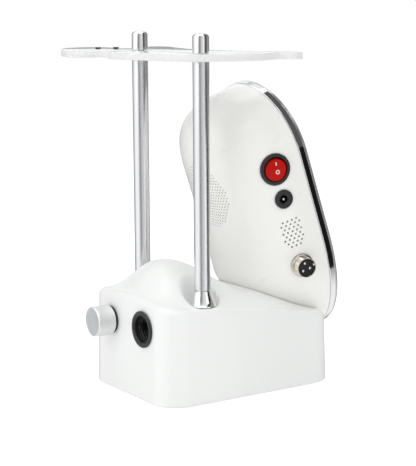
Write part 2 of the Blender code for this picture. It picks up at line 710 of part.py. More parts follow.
def closed_cap(profile, steps):
    """A turned cap: its outer skin and its bore each close on the axis, and meet at the mouth."""
    outer = profile[1:6]
    bore = profile[6:] + profile[:1]
    bm = bmesh.new()
    loops = []
    for radius, height in bore[1:] + outer[:-1]:
        loop = []
        for step in range(steps):
            angle = math.tau * step / steps
            loop.append(bm.verts.new((radius * math.cos(angle), radius * math.sin(angle), height)))
        loops.append(loop)
    bridge_rings(bm, loops)
    for loop, (_, height) in ((loops[0], bore[0]), (loops[-1], outer[-1])):
        tip = bm.verts.new((0.0, 0.0, height))
        for step in range(steps):
            bm.faces.new((loop[step], loop[(step + 1) % steps], tip))
    return bm


# The tray's edge, with a handpiece cradle between each two of its three arms. Each point is a
# share of the way from the middle to a post, a distance beyond that, and a distance behind the posts.
TRAY_EDGE = (
    (-1, -0.0126, 0.0083), (-1, -0.0216, -0.0137), (-1, -0.0241, -0.0357), (-1, -0.0176, -0.0487),
    (-1, -0.0151, -0.0587), (-1, -0.0236, -0.0657), (-1, -0.0231, -0.0732), (-1, -0.0096, -0.0697),
    (-0.66, 0, -0.0567), (0, 0, -0.0467), (0.8, 0, -0.0427), (1, 0.0236, -0.0487),
    (1, 0.0496, -0.0557), (1, 0.0596, -0.0477), (1, 0.0506, -0.0327), (1, 0.0396, -0.0207),
    (1, 0.0476, -0.0097), (1, 0.0696, -0.0097), (1, 0.0836, 0.0023), (1, 0.0786, 0.0223),
    (1, 0.0576, 0.0373), (1, 0.0336, 0.0443), (1, 0.0176, 0.0403), (1, 0.0106, 0.0273),
    (1, -0.0004, 0.0233), (0.78, 0, 0.0333), (0.14, 0, 0.0323), (-0.61, 0, 0.0233),
    (-1, -0.0026, 0.0173),
)
TRAY_PINS = ((1, 0.0466, 0.0103), (1, 0.0396, -0.0017))


def tray_places(rows):
    return [(share * POST_X + beyond, POST_Y + behind) for share, beyond, behind in rows]


def make_tray():
    outline = smooth_outline(tray_places(TRAY_EDGE), 3)
    tray = add_mesh("tray", add_prism(bmesh.new(), outline, TRAY_Z, TRAY_TOP), "clear_acrylic")
    holes = bmesh.new()
    for side in (1, -1):
        centre = (side * POST_X, POST_Y)
        disc(TRAY_STUD_RADIUS + GAP, TRAY_Z - 0.01, TRAY_TOP + 0.01, HOLE_STEPS, centre, holes)
    for centre in tray_places(TRAY_PINS):
        disc(TRAY_PIN_RADIUS + GAP, TRAY_Z - 0.01, TRAY_TOP + 0.01, 10, centre, holes)
    cut(tray, "tray_holes", holes)
    for number, (x, y) in enumerate(tray_places(TRAY_PINS), 1):
        profile = [
            (0.0, TRAY_Z + GAP),
            (TRAY_PIN_RADIUS, TRAY_Z + GAP),
            (TRAY_PIN_RADIUS, TRAY_TOP + GAP),
            (TRAY_PIN_RADIUS + 0.0007, TRAY_TOP + GAP),
            (TRAY_PIN_RADIUS + 0.0007, TRAY_TOP + 0.0007),
            (TRAY_PIN_RADIUS, TRAY_TOP + 0.0013),
            (0.0, TRAY_TOP + 0.0013),
        ]
        bm = turn(bmesh.new(), profile, 12)
        add_mesh(f"tray_pin_{number}", bm, "black_plastic", Matrix.Translation((x, y, 0.0)))


# ---------------------------------------------------------------- knob and handpiece socket
def make_knob():
    face = rear_face(KNOB_X, KNOB_Z, KNOB_RADIUS)
    bush = ENCODER_BUSH_RADIUS + GAP
    collar = washer(KNOB_COLLAR_RADIUS, bush, 0.0, KNOB_COLLAR_THICKNESS)
    add_mesh("knob_collar", collar, "black_plastic", face)
    nut_low = KNOB_COLLAR_THICKNESS + GAP
    nut = hex_nut(ENCODER_NUT_RADIUS, bush, nut_low, nut_low + ENCODER_NUT_HEIGHT)
    add_mesh("encoder_nut", nut, "zinc_steel", face)
    knob_low = KNOB_COLLAR_THICKNESS + RUNNING_GAP
    knob_high = knob_low + KNOB_LENGTH
    recess = KNOB_RADIUS - KNOB_WALL
    recess_top = knob_low + ENCODER_BUSH_LENGTH
    bore = ENCODER_SHAFT_RADIUS + GAP
    shaft_high = recess_top + 0.005
    profile = [
        (recess, knob_low),
        (KNOB_RADIUS - EDGE_BREAK, knob_low),
        (KNOB_RADIUS, knob_low + EDGE_BREAK),
        (KNOB_RADIUS, knob_high - 0.0012),
        (KNOB_RADIUS - 0.0004, knob_high - 0.0003),
        (KNOB_RADIUS - 0.0012, knob_high),
        (0.0, knob_high),
    ]
    inside = [(0.0, shaft_high + GAP), (bore, shaft_high + GAP), (bore, recess_top), (recess, recess_top)]
    bm = bmesh.new()
    turn(bm, inside + profile)
    add_mesh("knob", bm, "satin_aluminium", face)
    body_high = -BASE_WALL - 2 * GAP - math.tan(BASE_DRAFT) * 2 * KNOB_RADIUS
    side = ENCODER_BODY_SIDE
    body = add_box(
        bmesh.new(), (0.0, 0.0, body_high - ENCODER_BODY_DEPTH / 2), (side, side, ENCODER_BODY_DEPTH)
    )
    encoder = add_mesh("encoder_body", body, "zinc_steel", face)
    bush_high = knob_low + ENCODER_BUSH_LENGTH - RUNNING_GAP
    join_on(encoder, "encoder_bush", disc(ENCODER_BUSH_RADIUS, body_high - 0.002, bush_high, 16), face)
    shaft_low = body_high - 0.004
    cut(encoder, "encoder_bore", disc(bore, shaft_low - GAP, 0.02, 16), face)
    shaft = bevelled_disc(ENCODER_SHAFT_RADIUS, shaft_low, shaft_high, 0.0004, 16)
    add_mesh("encoder_shaft", shaft, "copper_brass", face)


def make_handpiece_socket():
    face = rear_face(SOCKET_X, SOCKET_Z, SOCKET_FLANGE_RADIUS)
    top = SOCKET_FLANGE_THICKNESS
    bottom = -SOCKET_BARREL_LENGTH
    profile = [
        (0.0, bottom),
        (SOCKET_BARREL_RADIUS, bottom),
        (SOCKET_BARREL_RADIUS, 0.0),
        (SOCKET_FLANGE_RADIUS, 0.0),
        (SOCKET_FLANGE_RADIUS, top - 0.0006),
        (SOCKET_FLANGE_RADIUS - 0.0006, top),
        (SOCKET_BORE_RADIUS + 0.0020, top),
        (SOCKET_BORE_RADIUS + 0.0020, top - 0.0009),
        (SOCKET_BORE_RADIUS, top - 0.0009),
        (SOCKET_BORE_RADIUS, bottom + SOCKET_FLOOR),
        (0.0, bottom + SOCKET_FLOOR),
    ]
    add_mesh("socket_bezel", turn(bmesh.new(), profile), "black_plastic", face)
    insert_low = bottom + SOCKET_FLOOR + GAP
    insert_high = insert_low + SOCKET_INSERT_LENGTH
    insert = bevelled_disc(SOCKET_INSERT_RADIUS, insert_low, insert_high, 0.0005, 20)
    insert = add_mesh("socket_insert", insert, "black_plastic", face)
    contacts = bmesh.new()
    for step in range(4):
        angle = math.tau * (step + 0.5) / 4
        centre = (0.0042 * math.cos(angle), 0.0042 * math.sin(angle))
        disc(SOCKET_CONTACT_RADIUS, insert_high - 0.001, insert_high + 0.003, 8, centre, contacts)
    join_on(insert, "socket_contacts", contacts, face)
    nut_high = -BASE_WALL - GAP - math.tan(BASE_DRAFT) * 2 * SOCKET_FLANGE_RADIUS - GAP
    ring = washer(
        SOCKET_NUT_RADIUS, SOCKET_BARREL_RADIUS + GAP, nut_high - SOCKET_NUT_THICKNESS, nut_high, 20
    )
    add_mesh("socket_nut", ring, "black_plastic", face)


# ---------------------------------------------------------------- console shape
def on_screen(u, v, w):
    """World place of a point given across, up and behind the screen plane."""
    return SCREEN_ORIGIN + Vector((u, 0.0, 0.0)) + UP_SCREEN * v + INTO_SCREEN * w


def rim_ray(step, steps, grow):
    """The middle-line point and the edge point of one ray across the console's outline."""
    arc = steps[0]
    side = steps[1]
    bottom = steps[2]
    half = CONSOLE_HALF_WIDTH + grow
    if step <= arc:
        angle = math.pi * step / arc
        middle = CONSOLE_TOP_CENTRE
        return middle, (half * math.cos(angle), middle + half * math.sin(angle))
    step -= arc
    if step < side:
        middle = CONSOLE_TOP_CENTRE + (CONSOLE_BOTTOM_CENTRE - CONSOLE_TOP_CENTRE) * step / side
        return middle, (-half, middle)
    step -= side
    if step <= bottom:
        angle = math.pi + math.pi * step / bottom
        length = CONSOLE_BOTTOM_LENGTH + grow
        middle = CONSOLE_BOTTOM_CENTRE
        return middle, (half * math.cos(angle), middle + length * math.sin(angle))
    step -= bottom
    middle = CONSOLE_BOTTOM_CENTRE + (CONSOLE_TOP_CENTRE - CONSOLE_BOTTOM_CENTRE) * step / side
    return middle, (half, middle)


def console_width(v, grow):
    half = CONSOLE_HALF_WIDTH + grow
    if v > CONSOLE_TOP_CENTRE:
        return math.sqrt(max(0.0, half**2 - (v - CONSOLE_TOP_CENTRE) ** 2))
    if v < CONSOLE_BOTTOM_CENTRE:
        share = (CONSOLE_BOTTOM_CENTRE - v) / (CONSOLE_BOTTOM_LENGTH + grow)
        return half * math.sqrt(max(0.0, 1.0 - share**2))
    return half


def console_back(u, v, grow, start):
    """How far the console's rear surface is behind the screen plane at a place on it."""
    depth = CONSOLE_DEPTH + CONSOLE_FLARE * bell(v - CONSOLE_FLARE_CENTRE, CONSOLE_FLARE_REACH)
    if v > CONSOLE_TOP_CENTRE:
        share = min(1.0, (v - CONSOLE_TOP_CENTRE) / (CONSOLE_HALF_WIDTH + grow))
        along = (1.0 - share**CONSOLE_TOP_POWER) ** (1 / CONSOLE_TOP_POWER)
    elif v < CONSOLE_BOTTOM_CENTRE:
        share = min(1.0, (CONSOLE_BOTTOM_CENTRE - v) / (CONSOLE_BOTTOM_LENGTH + grow))
        along = 1.0 - share**CONSOLE_KEEL_POWER
    else:
        along = 1.0
    width = console_width(v, grow)
    across = min(1.0, abs(u) / width) if width > 1e-9 else 1.0
    bulge = (1.0 - across**CONSOLE_SIDE_POWER) ** (1 / CONSOLE_SIDE_POWER)
    return start + (depth + grow - start) * along * bulge


def console_form(grow, front=None):
    """The console's closed outer form, grown all round. A front given reaches forward to it."""
    steps = (20, 6, 20)
    total = steps[0] + 2 * steps[1] + steps[2]
    start = CONSOLE_START
    rays = [rim_ray(step, steps, grow - CONSOLE_INSET) for step in range(total)]
    bm = bmesh.new()
    loops = []
    if front is not None:
        loops.append([bm.verts.new(on_screen(edge[0], edge[1], front)) for _, edge in rays])
    for degrees in (0, 8, 18, 29, 41, 54, 67, 80):
        share = math.cos(math.radians(degrees)) ** (2 / CONSOLE_SIDE_POWER)
        loop = []
        for middle, edge in rays:
            u = edge[0] * share
            v = middle + (edge[1] - middle) * share
            w = start if degrees == 0 else console_back(u, v, grow - CONSOLE_INSET, start)
            loop.append(bm.verts.new(on_screen(u, v, w)))
        loops.append(loop)
    bridge_rings(bm, loops)
    bm.faces.new(loops[0])
    last = loops[-1]
    half = steps[0] // 2
    left = [last[(half + 1 + k) % total] for k in range(total // 2)]
    right = [last[(half - 1 - k) % total] for k in range(total // 2)]
    bm.faces.new((last[half], left[0], right[0]))
    for k in range(total // 2 - 2):
        bm.faces.new((left[k], left[k + 1], right[k + 1], right[k]))
    bm.faces.new((left[total // 2 - 2], left[total // 2 - 1], right[total // 2 - 2]))
    return bm


def console_underside(y):
    """Height at which a vertical line in the middle plane meets the console from below."""
    low = FLOOR_Z
    high = SCREEN_ORIGIN.z
    for _ in range(40):
        middle = (low + high) / 2
        from_screen = Vector((0.0, y, middle)) - SCREEN_ORIGIN
        behind = from_screen.dot(INTO_SCREEN)
        back = console_back(0.0, from_screen.dot(UP_SCREEN), -CONSOLE_INSET, CONSOLE_START)
        if behind < back:
            high = middle
        else:
            low = middle
    return high


def neck_seats():
    """Heights of the neck's seats: inside the console, and under the base's roof."""
    above = max(console_underside(NECK_Y + k * NECK_FLANGE_RADIUS) for k in (-1, 0, 1))
    below = min(console_underside(NECK_Y + k * NECK_NUT_RADIUS) for k in (-1, 0, 1))
    return above + NECK_CONSOLE_SEAT_RISE, below - SADDLE_GAP - BASE_WALL


def side_wall(v, w):
    """A frame on the console's -X side wall at a height and depth, with Z out of the wall."""
    depth = console_back(0.0, v, -CONSOLE_INSET, CONSOLE_START) - CONSOLE_START
    width = console_width(v, -CONSOLE_INSET)

    def half(at_depth):
        share = (at_depth - CONSOLE_START) / depth
        return width * (1 - share**CONSOLE_SIDE_POWER) ** (1 / CONSOLE_SIDE_POWER)

    step = 0.0005
    slope = (half(w + step) - half(w - step)) / (2 * step)
    outward = Vector((-1.0, 0.0, 0.0)) - INTO_SCREEN * slope
    return facing(on_screen(-half(w), v, w), outward, UP_SCREEN)


def seat_depth(v, w, radius):
    """How deep a flat seat of this radius must be cut in the curved side wall."""
    frame = side_wall(v, w).inverted()
    lowest = 0.0
    for offset in (-radius, radius):
        along = frame @ side_wall(v, w + offset * 0.97).translation
        lowest = min(lowest, along.z)
    return -lowest


def side_fitting(shell, name, v, radius, hole):
    """Cuts a flat seat and a hole for a side fitting. Gives a frame with Z = 0 on the seat."""
    frame = side_wall(v, SIDE_DEPTH)
    frame = frame @ Matrix.Translation((0.0, 0.0, -seat_depth(v, SIDE_DEPTH, radius)))
    cut(shell, name + "_seat", disc(radius + 2 * GAP, 0.0, 0.02, 24), frame)
    cut(shell, name + "_hole", disc(hole + GAP, -0.012, 0.01, 20), frame)
    return frame @ Matrix.Translation((0.0, 0.0, GAP))


def side_vent_holes():
    """A block of small holes in staggered rows, as one cutter in the side wall's frame."""
    bm = bmesh.new()
    for row, count in enumerate(SIDE_VENT_ROWS):
        y = (len(SIDE_VENT_ROWS) / 2 - 0.5 - row) * SIDE_VENT_ROW
        for hole in range(count):
            x = (hole - (count - 1) / 2) * SIDE_VENT_PITCH
            disc(SIDE_VENT_HOLE_RADIUS, -0.008, 0.004, VENT_STEPS, (x, y), bm)
    return bm


def fan_vent_holes():
    """Staggered holes inside a circle, as one cutter that runs straight into the console's back."""
    bm = bmesh.new()
    row_step = FAN_VENT_PITCH * math.sqrt(3) / 2
    rows = int(FAN_VENT_RADIUS / row_step)
    for row in range(-rows, rows + 1):
        y = row * row_step
        reach = math.sqrt(FAN_VENT_RADIUS**2 - y * y)
        shift = FAN_VENT_PITCH / 2 if row % 2 else 0.0
        count = int((reach + shift) / FAN_VENT_PITCH)
        for hole in range(-count, count + 1):
            x = hole * FAN_VENT_PITCH + shift
            if abs(x) <= reach:
                disc(FAN_VENT_HOLE_RADIUS, -0.001, 0.02, VENT_STEPS, (x, y), bm)
    return bm


def make_console_shell():
    shell = add_mesh("console_shell", console_form(0.0), "white_shell")
    hollow = as_cutter(add_mesh("console_hollow", console_form(-CONSOLE_WALL, 0.0), None))
    boss = disc(NECK_BOSS_RADIUS, 0.0, neck_seats()[0], 16, (0.0, NECK_Y))
    cut(hollow, "neck_boss", boss)
    boolean(shell, hollow)
    cut(shell, "neck_hole", disc(NECK_TUBE_RADIUS + GAP, 0.0, 0.09, 16, (0.0, NECK_Y)))
    vent = facing(on_screen(0.0, FAN_CENTRE, FAN_REAR), INTO_SCREEN, UP_SCREEN)
    cut(shell, "fan_vent", fan_vent_holes(), vent)
    cut(shell, "side_vent", side_vent_holes(), side_wall(SIDE_VENT_UP, SIDE_DEPTH))
    return shell


def make_rim():
    """A chrome ring round the screen: a flat side band with a rounded front bead."""
    steps = (24, 2, 24)
    total = steps[0] + 2 * steps[1] + steps[2]
    section = [
        (-RIM_WIDTH, RIM_DEPTH),
        (0.0, RIM_DEPTH),
        (0.0, RIM_BEAD),
        (-0.0004, 0.0009),
        (-0.0014, 0.0001),
        (-0.0026, 0.0001),
        (-0.0036, 0.0009),
        (-RIM_WIDTH, RIM_BEAD),
    ]
    bm = bmesh.new()
    loops = []
    for inset, depth in section:
        rays = [rim_ray(step, steps, inset) for step in range(total)]
        loops.append([bm.verts.new(on_screen(edge[0], edge[1], depth)) for _, edge in rays])
    bridge_rings(bm, loops, closed_section=True)
    add_mesh("chrome_rim", bm, "chrome")


def make_front_panel():
    steps = (24, 2, 24)
    total = steps[0] + 2 * steps[1] + steps[2]
    bm = bmesh.new()
    loops = []
    inset = -RIM_WIDTH - GAP
    for shrink, depth in ((0.0, PANEL_BACK), (0.0, PANEL_FRONT + 0.0005), (0.0005, PANEL_FRONT)):
        rays = [rim_ray(step, steps, inset - shrink) for step in range(total)]
        loops.append([bm.verts.new(on_screen(edge[0], edge[1], depth)) for _, edge in rays])
    bridge_rings(bm, loops)
    bm.faces.new(loops[0])
    bm.faces.new(loops[-1])
    add_mesh("front_panel", bm, "black_glass")


# ---------------------------------------------------------------- inside the console
def make_display():
    frame = facing(on_screen(0.0, DISPLAY_CENTRE, PANEL_BACK + GAP), INTO_SCREEN, UP_SCREEN)
    bm = bmesh.new()
    outline = rounded_rectangle(DISPLAY_WIDTH, DISPLAY_HEIGHT, 0.002, 3, 1)
    add_prism(bm, outline, 0.0, DISPLAY_THICKNESS)
    add_mesh("display_module", bm, "display_metal", frame)


def make_control_board():
    board_low = PANEL_BACK + 2 * GAP + DISPLAY_THICKNESS + CONTROL_BOARD_LIFT
    frame = facing(on_screen(0.0, DISPLAY_CENTRE, board_low), INTO_SCREEN, UP_SCREEN)
    bm = add_box(
        bmesh.new(),
        (0.0, 0.0, BOARD_THICKNESS / 2),
        (CONTROL_BOARD_WIDTH, CONTROL_BOARD_HEIGHT, BOARD_THICKNESS),
    )
    board = add_mesh("control_board", bm, "circuit_board", frame)
    parts = bmesh.new()
    for x, y in corners(CONTROL_BOARD_WIDTH / 2 - 0.004, CONTROL_BOARD_HEIGHT / 2 - 0.004):
        disc(0.0022, -CONTROL_BOARD_LIFT, BOARD_THICKNESS + 0.001, 10, (x, y), parts)
    chips = (
        (0.000, 0.012, 0.016, 0.016, 0.0016),
        (-0.020, 0.015, 0.010, 0.014, 0.0014),
        (0.020, 0.026, 0.008, 0.008, 0.0022),
        (0.018, -0.014, 0.012, 0.009, 0.0018),
        (-0.014, -0.022, 0.014, 0.007, 0.0034),
    )
    for x, y, width, height, tall in chips:
        add_box(parts, (x, y, BOARD_THICKNESS + tall / 2 - 0.0002), (width, height, tall))
    join_on(board, "board_parts", parts, frame)


def make_fan():
    frame = facing(on_screen(0.0, FAN_CENTRE, FAN_REAR - FAN_THICKNESS), INTO_SCREEN, UP_SCREEN)
    bm = bmesh.new()
    add_prism(bm, rounded_rectangle(FAN_SIDE, FAN_SIDE, 0.003, 3, 1), 0.0, FAN_THICKNESS)
    fan = add_mesh("fan_frame", bm, "black_plastic", frame)
    cut(fan, "fan_bore", disc(FAN_BORE_RADIUS, 0.0012, 0.03, 28), frame)
    floor = bmesh.new()
    mid = (FAN_HUB_RADIUS + FAN_BORE_RADIUS) / 2
    reach = (FAN_BORE_RADIUS - FAN_HUB_RADIUS) / 2 - 0.0003
    for step in range(4):
        points = []
        for k in range(-2, 3):
            angle = math.tau * step / 4 + math.pi / 4 + k * math.radians(17.0)
            points.append(((mid + reach) * math.cos(angle), (mid + reach) * math.sin(angle)))
        for k in range(2, -3, -1):
            angle = math.tau * step / 4 + math.pi / 4 + k * math.radians(17.0)
            points.append(((mid - reach) * math.cos(angle), (mid - reach) * math.sin(angle)))
        add_prism(floor, points, -0.01, 0.01)
    cut(fan, "fan_windows", floor, frame)
    screws = bmesh.new()
    for x, y in corners(FAN_SIDE / 2 - 0.004, FAN_SIDE / 2 - 0.004):
        disc(0.0016, -0.01, 0.03, 8, (x, y), screws)
    cut(fan, "fan_screw_holes", screws, frame)
    low = 0.0012 + RUNNING_GAP
    high = FAN_THICKNESS - RUNNING_GAP
    hub = bevelled_disc(FAN_HUB_RADIUS - 0.0008, low, high, 0.0006, 21)
    impeller = add_mesh("fan_impeller", hub, "black_plastic", frame)
    blades = bmesh.new()
    for step in range(FAN_BLADES):
        add_fan_blade(blades, math.tau * step / FAN_BLADES, low + 0.0006, high - 0.0006)
    join_on(impeller, "fan_blades", blades, frame)


def add_fan_blade(bm, start, low, high):
    """A thin slanted blade from inside the hub out to the tip circle."""
    inner = FAN_HUB_RADIUS - 0.002
    outer = FAN_BORE_RADIUS - RUNNING_GAP
    lean = math.radians(30.0)
    thick = 0.0009
    loops = []
    for k in range(4):
        radius = inner + (outer - inner) * k / 3
        angle = start + math.radians(5.0) * k
        half = thick / 2 / radius
        section = (
            (angle - half, low),
            (angle + half, low),
            (angle + lean + half, high),
            (angle + lean - half, high),
        )
        loops.append(
            [bm.verts.new((radius * math.cos(a), radius * math.sin(a), z)) for a, z in section]
        )
    bridge_rings(bm, loops)
    bm.faces.new(loops[0])
    bm.faces.new(loops[-1])


def make_speaker():
    frame = facing(on_screen(0.0, SPEAKER_CENTRE, PANEL_BACK + GAP), INTO_SCREEN, UP_SCREEN)
    profile = [
        (0.0, 0.0),
        (SPEAKER_RADIUS, 0.0),
        (SPEAKER_RADIUS, 0.0015),
        (SPEAKER_RADIUS * 0.62, 0.0035),
        (SPEAKER_RADIUS * 0.62, SPEAKER_THICKNESS),
        (0.0, SPEAKER_THICKNESS),
    ]
    add_mesh("speaker", turn(bmesh.new(), profile, 20), "display_metal", frame)


# ---------------------------------------------------------------- side fittings
def make_rocker_switch(shell):
    frame = side_fitting(shell, "rocker", ROCKER_UP, ROCKER_BEZEL_RADIUS, ROCKER_BODY_RADIUS)
    pocket = ROCKER_RADIUS + RUNNING_GAP
    top = ROCKER_BEZEL_HEIGHT
    bottom = -ROCKER_BODY_LENGTH
    profile = [
        (0.0, bottom),
        (ROCKER_BODY_RADIUS, bottom),
        (ROCKER_BODY_RADIUS, 0.0),
        (ROCKER_BEZEL_RADIUS, 0.0),
        (ROCKER_BEZEL_RADIUS, top - 0.0009),
        (ROCKER_BEZEL_RADIUS - 0.0009, top),
        (pocket + 0.0005, top),
        (pocket, top - 0.0005),
        (pocket, top - ROCKER_POCKET),
        (0.0, top - ROCKER_POCKET),
    ]
    add_mesh("switch_housing", turn(bmesh.new(), profile), "black_plastic", frame)
    pivot = frame @ Matrix.Translation((0.0, 0.0, top - 0.0030))
    tilted = pivot @ Matrix.Rotation(ROCKER_SWING, 4, "X")
    half = ROCKER_RADIUS + 0.002
    side_view = (
        (-half, -0.0030),
        (half, -0.0030),
        (half, 0.0042),
        (half * 0.5, 0.0034),
        (0.0, 0.0031),
        (-half * 0.5, 0.0034),
        (-half, 0.0042),
    )
    bm = bmesh.new()
    loops = []
    for x in (-half, half):
        loops.append([bm.verts.new((x, y, z)) for y, z in side_view])
    bridge_rings(bm, loops)
    bm.faces.new(loops[0])
    bm.faces.new(loops[1])
    rocker = add_mesh("rocker", bm, "red_rocker", tilted)
    round_edge = as_cutter(
        add_mesh("rocker_round", disc(ROCKER_RADIUS, -0.02, 0.02, 24), None, tilted)
    )
    boolean(rocker, round_edge, "INTERSECT")


def make_dc_jack(shell):
    frame = side_fitting(shell, "dc_jack", JACK_UP, JACK_FLANGE_RADIUS, JACK_BODY_RADIUS)
    top = JACK_FLANGE_HEIGHT
    bottom = -JACK_BODY_LENGTH
    floor = top - JACK_BORE_DEPTH
    profile = [
        (0.0, bottom),
        (JACK_BODY_RADIUS, bottom),
        (JACK_BODY_RADIUS, 0.0),
        (JACK_FLANGE_RADIUS, 0.0),
        (JACK_FLANGE_RADIUS, top - 0.0006),
        (JACK_FLANGE_RADIUS - 0.0006, top),
        (JACK_BORE_RADIUS + 0.0005, top),
        (JACK_BORE_RADIUS, top - 0.0005),
        (JACK_BORE_RADIUS, floor),
        (0.0, floor),
    ]
    add_mesh("dc_jack", turn(bmesh.new(), profile, 20), "black_plastic", frame)
    pin = [
        (0.0, floor + GAP),
        (JACK_PIN_RADIUS, floor + GAP),
        (JACK_PIN_RADIUS, top - 0.0016),
        (JACK_PIN_RADIUS * 0.6, top - 0.0010),
        (0.0, top - 0.0008),
    ]
    add_mesh("dc_jack_pin", turn(bmesh.new(), pin, 10), "chrome", frame)


def make_aviation_socket(shell):
    frame = side_fitting(
        shell, "aviation_socket", AVIATION_UP, AVIATION_FLANGE_RADIUS, AVIATION_BARREL_RADIUS
    )
    flange = AVIATION_FLANGE_HEIGHT
    top = flange + AVIATION_BARREL_HEIGHT
    bottom = -AVIATION_BODY_LENGTH
    floor = top - AVIATION_BORE_DEPTH
    profile = [
        (0.0, bottom),
        (AVIATION_BARREL_RADIUS, bottom),
        (AVIATION_BARREL_RADIUS, 0.0),
        (AVIATION_FLANGE_RADIUS, 0.0),
        (AVIATION_FLANGE_RADIUS, flange - EDGE_BREAK),
        (AVIATION_FLANGE_RADIUS - EDGE_BREAK, flange),
        (AVIATION_BARREL_RADIUS, flange),
        (AVIATION_BARREL_RADIUS, top - EDGE_BREAK),
        (AVIATION_BARREL_RADIUS - 0.0003, top),
        (AVIATION_BORE_RADIUS, top),
        (AVIATION_BORE_RADIUS, floor),
        (0.0, floor),
    ]
    add_mesh("aviation_socket", turn(bmesh.new(), profile, 24), "chrome", frame)
    insert_low = floor + GAP
    insert_high = insert_low + AVIATION_INSERT_HEIGHT
    insert = bevelled_disc(AVIATION_BORE_RADIUS - GAP, insert_low, insert_high, 0.0004, 20)
    insert = add_mesh("aviation_insert", insert, "black_plastic", frame)
    pins = bmesh.new()
    for step in range(3):
        angle = math.tau * step / 3 + math.pi / 2
        centre = (AVIATION_PIN_CIRCLE * math.cos(angle), AVIATION_PIN_CIRCLE * math.sin(angle))
        tip = insert_high + AVIATION_PIN_LENGTH
        disc(AVIATION_PIN_RADIUS, insert_high - 0.001, tip, 8, centre, pins)
    join_on(insert, "aviation_pins", pins, frame)
    nut_high = -CONSOLE_WALL - AVIATION_NUT_CLEARANCE
    nut = hex_nut(
        AVIATION_NUT_RADIUS,
        AVIATION_BARREL_RADIUS + GAP,
        nut_high - AVIATION_NUT_THICKNESS,
        nut_high,
    )
    add_mesh("aviation_nut", nut, "zinc_steel", frame)


# ---------------------------------------------------------------- neck and base internals
def make_neck():
    at = Matrix.Translation((0.0, NECK_Y, 0.0))
    console_seat, base_seat = neck_seats()
    flange_low = console_seat + GAP
    flange_high = flange_low + NECK_FLANGE_THICKNESS
    nut_high = base_seat - GAP
    nut_low = nut_high - NECK_NUT_THICKNESS
    tube = [
        (NECK_BORE_RADIUS, nut_low - 0.0015),
        (NECK_TUBE_RADIUS, nut_low - 0.0015),
        (NECK_TUBE_RADIUS, flange_low),
        (NECK_FLANGE_RADIUS, flange_low),
        (NECK_FLANGE_RADIUS, flange_high),
        (NECK_BORE_RADIUS, flange_high),
    ]
    add_mesh("neck_tube", turn(bmesh.new(), tube, 20), "zinc_steel", at)
    nut = hex_nut(NECK_NUT_RADIUS, NECK_TUBE_RADIUS + GAP, nut_low, nut_high)
    add_mesh("neck_nut", nut, "zinc_steel", at)


def make_driver_board():
    at = Matrix.Translation((0.0, DRIVER_BOARD_Y, DRIVER_BOARD_Z))
    bm = add_box(
        bmesh.new(),
        (0.0, 0.0, BOARD_THICKNESS / 2),
        (DRIVER_BOARD_WIDTH, DRIVER_BOARD_DEPTH, BOARD_THICKNESS),
    )
    board = add_mesh("driver_board", bm, "circuit_board", at)
    parts = bmesh.new()
    for x, y, radius, tall in (
        (0.024, -0.024, 0.005, 0.012),
        (0.011, -0.027, 0.004, 0.010),
        (-0.026, -0.028, 0.004, 0.008),
    ):
        disc(radius, BOARD_THICKNESS - 0.0003, BOARD_THICKNESS + tall, 16, (x, y), parts)
    for x, y, width, depth, tall in (
        (-0.008, -0.028, 0.014, 0.008, 0.006),
        (0.027, 0.028, 0.010, 0.012, 0.005),
        (-0.024, 0.0335, 0.014, 0.006, 0.007),
    ):
        add_box(parts, (x, y, BOARD_THICKNESS + tall / 2 - 0.0003), (width, depth, tall))
    join_on(board, "driver_parts", parts, at)
    top = DRIVER_BOARD_Z + BOARD_THICKNESS + GAP
    make_transformer(top)
    make_heat_sink(top)


def make_transformer(floor):
    width, depth, height = TRANSFORMER_SIZE
    x, y = TRANSFORMER_PLACE
    at = Matrix.Translation((x, DRIVER_BOARD_Y + y, floor))
    core = add_box(bmesh.new(), (0.0, 0.0, height / 2), (width, depth * 0.5, height))
    transformer = add_mesh("transformer", core, "copper_brass", at)
    winding = add_box(bmesh.new(), (0.0, 0.0, height / 2), (width * 0.6, depth, height * 0.62))
    join_on(transformer, "winding", winding, at)


def make_heat_sink(floor):
    width, depth, height = HEAT_SINK_SIZE
    x, y = HEAT_SINK_PLACE
    y += DRIVER_BOARD_Y
    pitch = width / (HEAT_SINK_FINS - 0.5)
    fin = pitch / 2
    outline = [(-width / 2, 0.0), (width / 2, 0.0)]
    for index in range(HEAT_SINK_FINS):
        right = width / 2 - index * pitch
        outline += [(right, height), (right - fin, height)]
        if index < HEAT_SINK_FINS - 1:
            outline += [(right - fin, 0.003), (right - pitch, 0.003)]
    bm = bmesh.new()
    add_prism(bm, outline, -depth / 2, depth / 2)
    at = Matrix.Translation((x, y, floor)) @ Matrix.Rotation(math.pi / 2, 4, "X")
    add_mesh("heat_sink", bm, "satin_aluminium", at)


